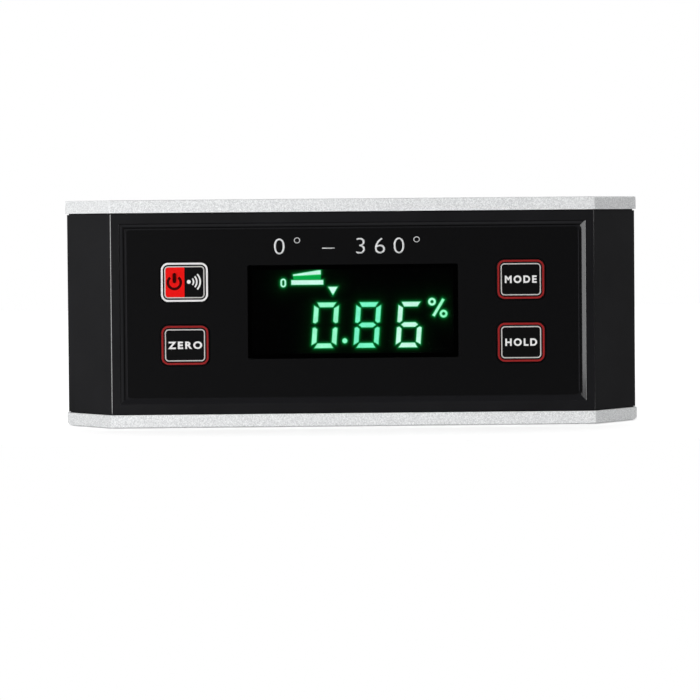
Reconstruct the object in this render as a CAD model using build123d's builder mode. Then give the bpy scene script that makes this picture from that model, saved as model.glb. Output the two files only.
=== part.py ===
from build123d import *
import os
from math import atan, degrees, radians, tan

# A digital level inclinometer: a black moulded case between two flat metal rails.
# Millimetres. X runs along the length, the display faces -Y and +Z is up.
# The origin is under the middle of the case, on the surface that it stands on.

# Overall size
overall_length = 152.7
overall_depth = 30.0
overall_height = 60.0

# Metal rails, and the V groove that seats the level on a pipe
rail_thickness = 3.4
front_chamfer = 12.5
rear_chamfer = 2.5
rail_corner = 0.4
rail_edge_break = 0.25
groove_width = 7.2
groove_angle = 120.0

# Disc magnets in the lower rail
magnet_diameter = 9.5
magnet_thickness = 2.2
magnet_spacing = 96.0
magnet_clearance = 0.1

# Moulded case
case_inset = 0.4
case_corner = 0.5
shell_wall = 2.0
front_wall = 2.0
back_wall = 2.0
shadow_gap = 0.35
shadow_depth = 0.5
cover_depth = 4.0
tongue_depth = 1.5
tongue_wall = 0.9
tongue_clearance = 0.1

# Recess in the front and the overlay in it
recess_rim_side = 2.45
recess_rim_top = 2.85
recess_depth = 1.1
bevel_width = 1.25
recess_edge = 0.2
panel_thickness = 0.5
panel_margin = 0.4
panel_corner = 1.2

# Window and display
window_length = 55.4
window_height = 24.6
window_lift = 0.25
window_corner = 0.5
window_thickness = 1.2
window_ledge = 1.2
window_clearance = 0.05
gasket_thickness = 0.6
gasket_rim = 1.6
module_margin = 2.4
module_corner = 0.6

# Lit figures
lit_thickness = 0.2
digit_width = 6.6
digit_height = 12.1
digit_stroke = 1.28
digit_gap = 0.52
digit_waist = 0.5
digit_pitch = 11.15
digit_slant = 4.4
first_digit_x = -7.3
digit_row_z = -3.5

# Keys
key_length = 12.95
key_height = 10.85
key_corner = 2.2
key_edge = 0.2
key_inset = 17.1
key_spacing_z = 16.6
key_stand = 0.35
key_clearance = 0.12
key_play = 0.05
key_travel = 0.4
flange_margin = 1.0
flange_thickness = 1.0
print_thickness = 0.08
ring_inset = 0.3
ring_width = 0.5
frame_gap = 0.4
frame_width = 0.28

# Tact switches
switch_size = 6.0
switch_height = 3.4
switch_edge = 0.4
button_diameter = 3.4
button_root = 1.0
button_room = 0.8
button_clearance = 0.05

# Main board
board_gap_side = 2.2
board_gap_top = 2.1
board_thickness = 1.6
board_corner = 1.5
board_tub_gap = 2.5
post_diameter = 5.0
post_inset_x = 5.0
post_inset_z = 3.5

# Battery cells and their bay in the rear cover
cell_diameter = 10.5
cell_length = 44.5
cell_nub_diameter = 3.6
cell_nub_length = 1.0
cell_edge = 0.5
cell_play = 0.2
spring_length = 4.7
contact_thickness = 0.4
tub_wall = 1.5
tub_floor = 1.2
saddle_width = 1.2
saddle_spacing = 24.0

# Battery door, its tabs and its spring tongue
door_thickness = 1.8
door_clearance = 0.15
door_seat = 0.1
door_ledge = 1.0
door_corner = 0.8
lip_thickness = 0.9
tab_play = 0.1
tab_width = 5.0
tab_reach = 1.8
tab_spacing = 12.0
tab_end_gap = 0.45
tab_swing_gap = 0.6
catch_width = 8.0
catch_length = 7.0
catch_slot = 0.8
grip_depth = 0.5
grip_width = 0.8
grip_pitch = 1.7
grip_count = 3

# Battery contacts and springs
contact_width = 8.0
contact_foot = 1.2
tail_width = 3.0
tail_stand = 0.3
tail_clearance = 0.15
spring_wire = 0.5
spring_base_diameter = 7.0
spring_cone = 8.0
spring_turns = 3.5
spring_gap = 0.03
lead_diameter = 1.0
lead_bend = 0.8
lead_run = 5.0

# Screws: shank, head, length
thread_clearance = 0.05
countersink_angle = 90.0
rail_screw_diameter = 2.5
rail_screw_head = 4.6
rail_screw_length = 9.0
rail_screw_inset_x = 10.5
rail_screw_inset_y = 9.0
rail_boss_diameter = 5.6
cover_screw_diameter = 2.5
cover_screw_head = 4.4
cover_screw_head_height = 1.7
cover_screw_length = 9.0
cover_screw_inset_x = 8.5
cover_screw_inset_z = 10.6
cover_pillar_diameter = 6.4
cover_pillar_length = 12.0
board_screw_diameter = 2.0
board_screw_head = 3.8
board_screw_head_height = 1.3
board_screw_length = 6.0
head_clearance = 0.1
head_setback = 0.3
drive_width = 0.6
drive_depth = 0.8
pilot_extra = 0.6

# Parts on the board, and their places on it. The coil and the capacitors keep their distance
# from its end, and the buzzer stands beside the leads.
chip_place = (-15.0, 5.5)
crystal_place = (-15.0, -9.0)
end_part_inset = 20.3
buzzer_lead_gap = 4.25
coil_z = 9.0
capacitor_z = -9.0
chip_size = 9.0
chip_height = 1.4
sensor_size = 5.0
sensor_height = 1.5
crystal_length = 10.6
crystal_width = 4.4
crystal_height = 2.2
coil_diameter = 7.0
coil_height = 3.2
buzzer_diameter = 12.0
buzzer_height = 6.0
buzzer_hole = 2.0
capacitor_diameter = 5.0
capacitor_height = 6.5
capacitor_spacing = 9.0

# Places along Y, from the front of the case to its back
front_y = case_inset - overall_depth / 2
rear_y = overall_depth / 2 - case_inset
recess_floor_y = front_y + recess_depth
panel_face_y = recess_floor_y - panel_thickness
window_back_y = panel_face_y + window_thickness
inner_front_y = recess_floor_y + front_wall
module_face_y = inner_front_y + gasket_thickness
key_face_y = panel_face_y - key_stand
flange_front_y = inner_front_y + key_play
flange_back_y = flange_front_y + flange_thickness
split_y = rear_y - cover_depth
cover_inner_y = rear_y - back_wall
door_inner_y = rear_y - door_thickness
cell_y = door_inner_y - door_seat - cell_play - cell_diameter / 2
bay_floor_y = cell_y - cell_diameter / 2 - cell_play
tub_front_y = bay_floor_y - tub_floor
board_back_y = tub_front_y - board_tub_gap
board_front_y = board_back_y - board_thickness
switch_face_y = board_front_y - switch_height
button_stand = switch_face_y - flange_back_y

# Heights and lengths that follow
case_bottom = rail_thickness
case_top = overall_height - rail_thickness
case_height = case_top - case_bottom
recess_length = overall_length - 2 * (front_chamfer + recess_rim_side)
recess_height = case_height - 2 * recess_rim_top
key_spacing_x = recess_length - 2 * key_inset
rail_screw_spacing_x = overall_length - 2 * rail_screw_inset_x
rail_screw_spacing_y = overall_depth - 2 * rail_screw_inset_y
cover_screw_spacing_x = overall_length - 2 * cover_screw_inset_x
cover_screw_spacing_z = case_height - 2 * cover_screw_inset_z
board_length = rail_screw_spacing_x - rail_boss_diameter - 2 * board_gap_side
board_height = case_height - 2 * (shell_wall + board_gap_top)
post_spacing_x = board_length - 2 * post_inset_x
post_spacing_z = board_height - 2 * post_inset_z
end_part_x = board_length / 2 - end_part_inset
groove_depth = groove_width / 2 / tan(radians(groove_angle / 2))
bay_length = cell_length + spring_length + 2 * contact_thickness
lead_x = bay_length / 2 - contact_thickness / 2
buzzer_x = lead_x + lead_run + (lead_diameter + buzzer_diameter) / 2 + buzzer_lead_gap
bay_height = 2 * cell_diameter + 3 * cell_play
cell_z = cell_diameter / 2 + cell_play / 2
door_opening_length = bay_length + 2 * door_ledge
door_opening_height = bay_height + 2 * door_ledge
tab_thickness = door_thickness - lip_thickness - tab_play
cover_grip = cover_depth - head_setback - cover_screw_head_height
bevel_angle = degrees(atan(bevel_width / recess_depth))
hole_length = window_length + 2 * window_clearance
hole_height = window_height + 2 * window_clearance
view_length = window_length - 2 * window_ledge
view_height = window_height - 2 * window_ledge
flange_length = key_length + 2 * flange_margin
flange_height = key_height + 2 * flange_margin
key_places = {
    "power": (-key_spacing_x / 2, key_spacing_z / 2),
    "zero": (-key_spacing_x / 2, -key_spacing_z / 2),
    "mode": (key_spacing_x / 2, key_spacing_z / 2),
    "hold": (key_spacing_x / 2, -key_spacing_z / 2),
}

os.makedirs("parts", exist_ok=True)


def facing(y):
    """Plane across the case at y that looks out of the display side, centred at half height."""
    return Plane(origin=(0, y, overall_height / 2), x_dir=(1, 0, 0), z_dir=(0, -1, 0))


def from_behind(y):
    """Plane across the case at y that looks out of its back, centred at half height."""
    return Plane(origin=(0, y, overall_height / 2), x_dir=(1, 0, 0), z_dir=(0, 1, 0))


# Outlines seen from above
with BuildSketch() as rail_plan:
    Rectangle(overall_length, overall_depth)
    chamfer(rail_plan.vertices().group_by(Axis.Y)[0], length=front_chamfer)
    chamfer(rail_plan.vertices().group_by(Axis.Y)[-1], length=rear_chamfer)
    fillet(rail_plan.vertices(), radius=rail_corner)

with BuildSketch() as sharp_plan:
    Rectangle(overall_length, overall_depth)
    chamfer(sharp_plan.vertices().group_by(Axis.Y)[0], length=front_chamfer)
    chamfer(sharp_plan.vertices().group_by(Axis.Y)[-1], length=rear_chamfer)

with BuildSketch() as case_plan:
    offset(sharp_plan.sketch, amount=-case_inset, kind=Kind.INTERSECTION)
    fillet(case_plan.vertices(), radius=case_corner)

with BuildSketch() as land_plan:
    offset(sharp_plan.sketch, amount=-case_inset - shadow_depth, kind=Kind.INTERSECTION)

with BuildSketch() as cavity_plan:
    offset(sharp_plan.sketch, amount=-case_inset - shell_wall, kind=Kind.INTERSECTION)
    with Locations((0, inner_front_y)):
        Rectangle(overall_length, overall_depth, align=(Align.CENTER, Align.MAX), mode=Mode.SUBTRACT)
    with Locations((0, cover_inner_y)):
        Rectangle(overall_length, overall_depth, align=(Align.CENTER, Align.MIN), mode=Mode.SUBTRACT)

with BuildSketch() as front_half:
    with Locations((0, split_y)):
        Rectangle(overall_length, overall_depth, align=(Align.CENTER, Align.MAX))

with BuildSketch() as rear_half:
    with Locations((0, split_y)):
        Rectangle(overall_length, overall_depth, align=(Align.CENTER, Align.MIN))


def hollow_shell(half):
    """One half of the case: walls, the lands that meet the rails, and the cavity."""
    with BuildPart() as shell:
        with BuildSketch(Plane.XY.offset(case_bottom + shadow_gap)):
            add(case_plan.sketch)
            add(half.sketch, mode=Mode.INTERSECT)
        extrude(amount=case_height - 2 * shadow_gap)
        with BuildSketch(Plane.XY.offset(case_bottom)):
            add(land_plan.sketch)
            add(half.sketch, mode=Mode.INTERSECT)
        extrude(amount=case_height)
        with BuildSketch(Plane.XY.offset(case_bottom + shell_wall)):
            add(cavity_plan.sketch)
            add(half.sketch, mode=Mode.INTERSECT)
        extrude(amount=case_height - 2 * shell_wall, mode=Mode.SUBTRACT)
    return shell.part


# Rails: flat plates with big corner chamfers, screwed to the case
def rail_plate(floor):
    """A rail plate whose lower face is at floor, with its four countersunk holes."""
    outer_face = floor if floor == 0 else floor + rail_thickness
    outward = -1 if floor == 0 else 1
    screw_plane = Plane(origin=(0, 0, outer_face), x_dir=(1, 0, 0), z_dir=(0, 0, outward))
    with BuildPart() as plate:
        with BuildSketch(Plane.XY.offset(floor)):
            add(rail_plan.sketch)
        extrude(amount=rail_thickness)
        broken_edges = plate.edges().filter_by_position(
            Axis.Z, outer_face - rail_edge_break, outer_face + rail_edge_break
        )
        chamfer(broken_edges, length=rail_edge_break)
        with Locations(screw_plane):
            with GridLocations(rail_screw_spacing_x, rail_screw_spacing_y, 2, 2):
                CounterSinkHole(
                    radius=rail_screw_diameter / 2 + head_clearance,
                    counter_sink_radius=rail_screw_head / 2 + head_clearance,
                    counter_sink_angle=countersink_angle,
                )
    return plate.part


with BuildPart() as top_rail:
    add(rail_plate(case_top))
top_rail.part.label = "top_rail"
export_step(top_rail.part, "parts/top_rail.step")

with BuildPart() as bottom_rail:
    add(rail_plate(0))
    with BuildSketch(Plane.YZ.offset(-overall_length / 2)):
        with BuildLine():
            Polyline((-groove_width / 2, 0), (0, groove_depth), (groove_width / 2, 0), close=True)
        make_face()
    extrude(amount=overall_length, mode=Mode.SUBTRACT)
    with BuildSketch(Plane.XY):
        with GridLocations(magnet_spacing, 0, 2, 1):
            Circle(magnet_diameter / 2 + magnet_clearance)
    extrude(amount=rail_thickness, mode=Mode.SUBTRACT)
bottom_rail.part.label = "bottom_rail"
export_step(bottom_rail.part, "parts/bottom_rail.step")


# Front housing: the deep moulding with the bevelled recess, window seat and key openings
with BuildPart() as front_housing:
    add(hollow_shell(front_half))

    # Recess with its mitred bevel
    with BuildSketch(from_behind(front_y)):
        Rectangle(recess_length, recess_height)
    extrude(amount=recess_depth, taper=bevel_angle, mode=Mode.SUBTRACT)
    fillet(front_housing.faces().sort_by(Axis.Y)[0].inner_wires()[0].edges(), radius=recess_edge)

    # Stepped seat of the window: a pocket for the lens, then the smaller view opening
    with BuildSketch(facing(window_back_y)):
        with Locations((0, window_lift)):
            RectangleRounded(hole_length, hole_height, window_corner + window_clearance)
    extrude(amount=window_back_y - recess_floor_y, mode=Mode.SUBTRACT)
    with BuildSketch(facing(inner_front_y)):
        with Locations((0, window_lift)):
            RectangleRounded(view_length, view_height, window_corner)
    extrude(amount=front_wall, mode=Mode.SUBTRACT)

    # Key openings
    with BuildSketch(facing(inner_front_y)):
        with GridLocations(key_spacing_x, key_spacing_z, 2, 2):
            RectangleRounded(
                key_length + 2 * key_clearance, key_height + 2 * key_clearance, key_corner + key_clearance
            )
    extrude(amount=front_wall, mode=Mode.SUBTRACT)

    # Posts that carry the board, with pilot holes from behind
    with BuildSketch(facing(board_front_y)):
        with GridLocations(post_spacing_x, post_spacing_z, 2, 2):
            Circle(post_diameter / 2)
    extrude(amount=board_front_y - inner_front_y)
    with BuildSketch(facing(board_front_y)):
        with GridLocations(post_spacing_x, post_spacing_z, 2, 2):
            Circle(board_screw_diameter / 2 + thread_clearance)
    extrude(amount=board_screw_length - board_thickness + pilot_extra, mode=Mode.SUBTRACT)

    # Pillars for the cover screws, each tied to the side wall by a rib
    with BuildSketch(facing(split_y)):
        with GridLocations(cover_screw_spacing_x, cover_screw_spacing_z, 2, 2):
            Circle(cover_pillar_diameter / 2)
    extrude(amount=cover_pillar_length)
    rib_reach = (overall_length - cover_screw_spacing_x) / 2 - case_inset - shell_wall / 2
    with BuildSketch(facing(split_y - tongue_depth - tongue_clearance)):
        with GridLocations(cover_screw_spacing_x + rib_reach, cover_screw_spacing_z, 2, 2):
            Rectangle(rib_reach, shell_wall)
    extrude(amount=cover_pillar_length - tongue_depth)
    with BuildSketch(facing(split_y)):
        with GridLocations(cover_screw_spacing_x, cover_screw_spacing_z, 2, 2):
            Circle(cover_screw_diameter / 2 + thread_clearance)
    extrude(amount=cover_screw_length - cover_grip + pilot_extra, mode=Mode.SUBTRACT)

    # Bosses for the rail screws, below and above
    for floor, upward in ((case_bottom, 1), (case_top, -1)):
        with BuildSketch(Plane.XY.offset(floor + upward * shell_wall)):
            with GridLocations(rail_screw_spacing_x, rail_screw_spacing_y, 2, 2):
                Circle(rail_boss_diameter / 2)
        extrude(amount=upward * (rail_screw_length - rail_thickness))
        with BuildSketch(Plane.XY.offset(floor)):
            with GridLocations(rail_screw_spacing_x, rail_screw_spacing_y, 2, 2):
                Circle(rail_screw_diameter / 2 + thread_clearance)
        extrude(amount=upward * (rail_screw_length - rail_thickness + pilot_extra), mode=Mode.SUBTRACT)

    # Pockets that take the magnets from below
    with BuildSketch(Plane.XY.offset(case_bottom)):
        with GridLocations(magnet_spacing, 0, 2, 1):
            Circle(magnet_diameter / 2 + magnet_clearance)
    extrude(amount=groove_depth + magnet_thickness - rail_thickness, mode=Mode.SUBTRACT)
front_housing.part.label = "front_housing"
export_step(front_housing.part, "parts/front_housing.step")


# Rear cover: shallow moulding with a tongue, screw bosses and the battery bay
with BuildPart() as rear_cover:
    add(hollow_shell(rear_half))

    # Tongue that centres the cover inside the front housing
    tongue_length = overall_length - 2 * (case_inset + shell_wall + tongue_clearance)
    tongue_height = case_height - 2 * (shell_wall + tongue_clearance)
    with BuildSketch(facing(split_y + back_wall)):
        Rectangle(tongue_length, tongue_height)
        Rectangle(tongue_length - 2 * tongue_wall, tongue_height - 2 * tongue_wall, mode=Mode.SUBTRACT)
    extrude(amount=tongue_depth + back_wall)

    # Bosses that land on the pillars, and the tub that holds the cells
    with BuildSketch(facing(split_y)):
        with GridLocations(cover_screw_spacing_x, cover_screw_spacing_z, 2, 2):
            Circle(cover_pillar_diameter / 2)
    extrude(amount=split_y - cover_inner_y)
    with BuildSketch(facing(cover_inner_y)):
        Rectangle(bay_length + 2 * tub_wall, bay_height + 2 * tub_wall)
    extrude(amount=cover_inner_y - tub_front_y)
    with BuildSketch(facing(rear_y)):
        Rectangle(bay_length, bay_height)
    extrude(amount=rear_y - bay_floor_y, mode=Mode.SUBTRACT)

    # Ledge for the door, and the slots that its tabs turn in, under a lip
    with BuildSketch(facing(rear_y)):
        RectangleRounded(door_opening_length, door_opening_height, door_corner)
    extrude(amount=door_thickness + door_seat, mode=Mode.SUBTRACT)
    slot_length = tab_reach + door_ledge + tab_end_gap
    with BuildSketch(facing(rear_y - lip_thickness)):
        with Locations((slot_length / 2 - bay_length / 2 - slot_length, 0)):
            with GridLocations(0, tab_spacing, 1, 2):
                Rectangle(slot_length, tab_width + 2 * door_clearance)
    extrude(amount=door_thickness + tab_swing_gap, mode=Mode.SUBTRACT)

    # Saddles that cradle the cells
    with BuildSketch(Plane.YZ.offset(-(saddle_spacing + saddle_width) / 2)) as saddle:
        with Locations(((bay_floor_y + cell_y) / 2, overall_height / 2)):
            Rectangle(cell_y - bay_floor_y, bay_height)
        with Locations((cell_y, overall_height / 2 + cell_z), (cell_y, overall_height / 2 - cell_z)):
            Circle(cell_diameter / 2 + cell_play, mode=Mode.SUBTRACT)
    extrude(amount=saddle_width)
    extrude(saddle.sketch.moved(Location((saddle_spacing, 0, 0))), amount=saddle_width)

    # Slots in the tub floor for the tails of the two contacts at the right
    with BuildSketch(facing(bay_floor_y)):
        with Locations((bay_length / 2 - contact_thickness / 2, 0)):
            with GridLocations(0, 2 * cell_z, 1, 2):
                Rectangle(contact_thickness + 2 * tail_clearance, tail_width + 2 * tail_clearance)
    extrude(amount=tub_floor, mode=Mode.SUBTRACT)

    # Counterbored holes for the cover screws
    with Locations(from_behind(rear_y)):
        with GridLocations(cover_screw_spacing_x, cover_screw_spacing_z, 2, 2):
            CounterBoreHole(
                radius=cover_screw_diameter / 2 + head_clearance,
                counter_bore_radius=cover_screw_head / 2 + head_clearance,
                counter_bore_depth=cover_screw_head_height + head_setback,
            )
rear_cover.part.label = "rear_cover"
export_step(rear_cover.part, "parts/rear_cover.step")


# Battery door: a flat plate with two tabs at one end and a spring tongue at the other
door_length = door_opening_length - 2 * door_clearance
door_height = door_opening_height - 2 * door_clearance
with BuildPart() as battery_door:
    with BuildSketch(facing(rear_y)):
        RectangleRounded(door_length, door_height, door_corner)
    extrude(amount=door_thickness)
    with BuildSketch(facing(door_inner_y + tab_thickness)):
        with Locations((-(door_length + tab_reach) / 2, 0)):
            with GridLocations(0, tab_spacing, 1, 2):
                Rectangle(tab_reach, tab_width)
    extrude(amount=tab_thickness)
    with BuildSketch(facing(rear_y)):
        with Locations(((door_length - catch_length) / 2, 0)):
            with GridLocations(0, catch_width + catch_slot, 1, 2):
                Rectangle(catch_length, catch_slot)
    extrude(amount=door_thickness, mode=Mode.SUBTRACT)
    with BuildSketch(facing(rear_y)):
        with Locations(((door_length - catch_length) / 2, 0)):
            with GridLocations(grip_pitch, 0, grip_count, 1):
                SlotOverall(catch_width - catch_slot, grip_width, rotation=90)
    extrude(amount=grip_depth, mode=Mode.SUBTRACT)
battery_door.part.label = "battery_door"
export_step(battery_door.part, "parts/battery_door.step")


# Overlay in the recess, with openings for the window and the keys
with BuildPart() as keypad_panel:
    with BuildSketch(facing(recess_floor_y)):
        RectangleRounded(
            recess_length - 2 * (bevel_width + panel_margin),
            recess_height - 2 * (bevel_width + panel_margin),
            panel_corner,
        )
        with Locations((0, window_lift)):
            RectangleRounded(
                hole_length, hole_height, window_corner + window_clearance, mode=Mode.SUBTRACT
            )
        with GridLocations(key_spacing_x, key_spacing_z, 2, 2):
            RectangleRounded(
                key_length + 2 * key_clearance,
                key_height + 2 * key_clearance,
                key_corner + key_clearance,
                mode=Mode.SUBTRACT,
            )
    extrude(amount=panel_thickness)
keypad_panel.part.label = "keypad_panel"
export_step(keypad_panel.part, "parts/keypad_panel.step")


# Window lens on its ledge, flush with the overlay
with BuildPart() as display_window:
    with BuildSketch(facing(window_back_y)):
        with Locations((0, window_lift)):
            RectangleRounded(window_length, window_height, window_corner)
    extrude(amount=window_thickness)
display_window.part.label = "display_window"
export_step(display_window.part, "parts/display_window.step")


# Foam gasket between the case and the display module
with BuildPart() as display_gasket:
    with BuildSketch(facing(module_face_y)):
        with Locations((0, window_lift)):
            RectangleRounded(
                view_length + 2 * gasket_rim, view_height + 2 * gasket_rim, window_corner + gasket_rim
            )
            RectangleRounded(view_length, view_height, window_corner, mode=Mode.SUBTRACT)
    extrude(amount=gasket_thickness)
display_gasket.part.label = "display_gasket"
export_step(display_gasket.part, "parts/display_gasket.step")


# Lit figures: seven-bar digits, and the small signs round them
def bar_points(bar):
    """Corners of one bar of a digit, upright, about the digit's middle."""
    half_w, half_h = digit_width / 2, digit_height / 2
    inner_w, inner_h = half_w - digit_stroke, half_h - digit_stroke
    mitre = digit_gap / 2
    top = [
        (-half_w + digit_gap + mitre, half_h),
        (half_w - digit_gap - mitre, half_h),
        (inner_w - mitre, inner_h),
        (-inner_w + mitre, inner_h),
    ]
    middle = [
        (-inner_w - mitre, 0),
        (-inner_w + digit_gap, digit_stroke / 2),
        (inner_w - digit_gap, digit_stroke / 2),
        (inner_w + mitre, 0),
        (inner_w - digit_gap, -digit_stroke / 2),
        (-inner_w + digit_gap, -digit_stroke / 2),
    ]
    upper_left = [
        (-half_w, digit_waist + mitre),
        (-half_w + digit_stroke / 2, digit_waist),
        (-inner_w, digit_waist + digit_gap),
        (-inner_w, inner_h - mitre),
        (-half_w, half_h - digit_gap - mitre),
    ]
    turned = {
        "top": (top, 1, 1),
        "bottom": (top, 1, -1),
        "middle": (middle, 1, 1),
        "upper_left": (upper_left, 1, 1),
        "upper_right": (upper_left, -1, 1),
        "lower_left": (upper_left, 1, -1),
        "lower_right": (upper_left, -1, -1),
    }
    points, across, up = turned[bar]
    return [(x * across, z * up) for x, z in points]


lean = tan(radians(digit_slant))
sides = ["upper_left", "upper_right", "lower_left", "lower_right"]
shown_bars = [
    ["top", "bottom"] + sides,
    ["top", "middle", "bottom"] + sides,
    ["top", "middle", "bottom", "upper_left", "lower_left", "lower_right"],
]
percent_rings = ((21.0, 2.5), (24.05, -0.7))
percent_ring_radius = 1.05
percent_hole_radius = 0.42
percent_bar = ((21.35, -1.3), (24.05, 3.2))
percent_stroke = 0.76
point_place = (-2.15, -7.65)
point_radius = 0.68
small_zero_place = (-18.3, 7.8)
small_zero_width = 1.55
small_zero_height = 2.35
small_zero_stroke = 0.48
slope_bar_place = (-11.95, 7.9)
slope_bar_size = (8.5, 1.3)
slope_wedge = [(-15.7, 9.6), (-8.35, 9.95), (-8.35, 11.1), (-9.1, 11.1), (-15.7, 10.05)]
marker_points = [(-6.5, 6.7), (-3.9, 6.7), (-5.2, 4.4)]
percent_line = Line(*percent_bar)

with BuildPart() as lit_segments:
    with BuildSketch(facing(module_face_y + lit_thickness)):
        for place, bars in enumerate(shown_bars):
            digit_x = first_digit_x + place * digit_pitch
            for bar in bars:
                leaning = [(digit_x + x + z * lean, digit_row_z + z) for x, z in bar_points(bar)]
                Polygon(*leaning, align=None)
        with Locations(point_place):
            Circle(point_radius)
        with Locations(*percent_rings):
            Circle(percent_ring_radius)
            Circle(percent_hole_radius, mode=Mode.SUBTRACT)
        with Locations(percent_line @ 0.5):
            Rectangle(percent_line.length, percent_stroke, rotation=percent_line.tangent_angle_at(0))
        with Locations(small_zero_place):
            SlotOverall(small_zero_height, small_zero_width, rotation=90)
            SlotOverall(
                small_zero_height - 2 * small_zero_stroke,
                small_zero_width - 2 * small_zero_stroke,
                rotation=90,
                mode=Mode.SUBTRACT,
            )
        with Locations(slope_bar_place):
            Rectangle(*slope_bar_size)
        Polygon(*slope_wedge, align=None)
        Polygon(*marker_points, align=None)
    extrude(amount=lit_thickness)
lit_segments.part.label = "lit_segments"
export_step(lit_segments.part, "parts/lit_segments.step")


# Display module on the board, with the lit figures flush in its face
module_length = view_length + 2 * module_margin
module_height = view_height + 2 * module_margin
with BuildPart() as display_module:
    with BuildSketch(facing(board_front_y)):
        with Locations((0, window_lift)):
            RectangleRounded(module_length, module_height, module_corner)
    extrude(amount=board_front_y - module_face_y)
    add(lit_segments.part, mode=Mode.SUBTRACT)
display_module.part.label = "display_module"
export_step(display_module.part, "parts/display_module.step")


# Keys: a flanged cap with a printed ring and frame, the button it presses, and the switch below
for key_name, (key_x, key_z) in key_places.items():
    with BuildPart() as key:
        with BuildSketch(facing(flange_back_y)):
            with Locations((key_x, key_z)):
                RectangleRounded(flange_length, flange_height, key_corner + flange_margin)
        extrude(amount=flange_thickness)
        with BuildSketch(facing(flange_front_y)):
            with Locations((key_x, key_z)):
                RectangleRounded(key_length, key_height, key_corner)
        extrude(amount=flange_front_y - key_face_y)
        fillet(key.faces().sort_by(Axis.Y)[0].outer_wire().edges(), radius=key_edge)
    key.part.label = f"{key_name}_key"
    export_step(key.part, f"parts/{key_name}_key.step")

    ring_length = key_length - 2 * ring_inset
    ring_height = key_height - 2 * ring_inset
    with BuildPart() as ring:
        with BuildSketch(facing(key_face_y)):
            with Locations((key_x, key_z)):
                RectangleRounded(ring_length, ring_height, key_corner - ring_inset)
                RectangleRounded(
                    ring_length - 2 * ring_width,
                    ring_height - 2 * ring_width,
                    key_corner - ring_inset - ring_width,
                    mode=Mode.SUBTRACT,
                )
        extrude(amount=print_thickness)
    ring.part.label = f"{key_name}_key_ring"
    export_step(ring.part, f"parts/{key_name}_key_ring.step")

    frame_length = ring_length - 2 * (ring_width + frame_gap)
    frame_height = ring_height - 2 * (ring_width + frame_gap)
    frame_corner = key_corner - ring_inset - ring_width - frame_gap
    with BuildPart() as frame:
        with BuildSketch(facing(key_face_y)):
            with Locations((key_x, key_z)):
                RectangleRounded(frame_length, frame_height, frame_corner)
                RectangleRounded(
                    frame_length - 2 * frame_width,
                    frame_height - 2 * frame_width,
                    frame_corner - frame_width,
                    mode=Mode.SUBTRACT,
                )
        extrude(amount=print_thickness)
    frame.part.label = f"{key_name}_key_frame"
    export_step(frame.part, f"parts/{key_name}_key_frame.step")

    with BuildPart() as button:
        with BuildSketch(facing(switch_face_y + button_root)):
            with Locations((key_x, key_z)):
                Circle(button_diameter / 2)
        extrude(amount=button_root + button_stand)
    button.part.label = f"{key_name}_switch_button"
    export_step(button.part, f"parts/{key_name}_switch_button.step")

    with BuildPart() as switch:
        with BuildSketch(facing(board_front_y)):
            with Locations((key_x, key_z)):
                Rectangle(switch_size, switch_size)
        extrude(amount=switch_height)
        chamfer(switch.edges().filter_by(Axis.Y), length=switch_edge)
        with BuildSketch(facing(switch_face_y)):
            with Locations((key_x, key_z)):
                Circle(button_diameter / 2 + button_clearance)
        extrude(amount=-(button_root + button_room), mode=Mode.SUBTRACT)
    switch.part.label = f"{key_name}_switch"
    export_step(switch.part, f"parts/{key_name}_switch.step")


# Red field inside the left half of the power key's frame
power_x, power_z = key_places["power"]
field_length = frame_length / 2 - frame_width
field_height = frame_height - 2 * frame_width
with BuildPart() as power_key_field:
    with BuildSketch(facing(key_face_y)):
        with Locations((power_x, power_z)):
            RectangleRounded(2 * field_length, field_height, frame_corner - frame_width)
        with Locations((power_x, power_z)):
            Rectangle(field_length, field_height, align=(Align.MIN, Align.CENTER), mode=Mode.SUBTRACT)
    extrude(amount=print_thickness)
power_key_field.part.label = "power_key_field"
export_step(power_key_field.part, "parts/power_key_field.step")


# Main board, held on the posts
with BuildPart() as main_board:
    with BuildSketch(facing(board_back_y)):
        RectangleRounded(board_length, board_height, board_corner)
        with GridLocations(post_spacing_x, post_spacing_z, 2, 2):
            Circle(board_screw_diameter / 2 + head_clearance, mode=Mode.SUBTRACT)
    extrude(amount=board_thickness)
main_board.part.label = "main_board"
export_step(main_board.part, "parts/main_board.step")


def on_board(height):
    """Plane level with the top of a component of this height on the back of the board."""
    return facing(board_back_y + height)


with BuildPart() as controller_chip:
    with BuildSketch(on_board(chip_height)):
        with Locations(chip_place):
            Rectangle(chip_size, chip_size)
    extrude(amount=chip_height)
    chamfer(controller_chip.edges().filter_by(Axis.Y), length=switch_edge)
controller_chip.part.label = "controller_chip"
export_step(controller_chip.part, "parts/controller_chip.step")

with BuildPart() as tilt_sensor:
    with BuildSketch(on_board(sensor_height)):
        Rectangle(sensor_size, sensor_size)
    extrude(amount=sensor_height)
tilt_sensor.part.label = "tilt_sensor"
export_step(tilt_sensor.part, "parts/tilt_sensor.step")

with BuildPart() as crystal_can:
    with BuildSketch(on_board(crystal_height)):
        with Locations(crystal_place):
            SlotOverall(crystal_length, crystal_width)
    extrude(amount=crystal_height)
crystal_can.part.label = "crystal_can"
export_step(crystal_can.part, "parts/crystal_can.step")

with BuildPart() as boost_coil:
    with BuildSketch(on_board(coil_height)):
        with Locations((-end_part_x, coil_z)):
            Circle(coil_diameter / 2)
    extrude(amount=coil_height)
    chamfer(boost_coil.edges().sort_by(Axis.Y)[-1], length=switch_edge)
boost_coil.part.label = "boost_coil"
export_step(boost_coil.part, "parts/boost_coil.step")

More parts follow.
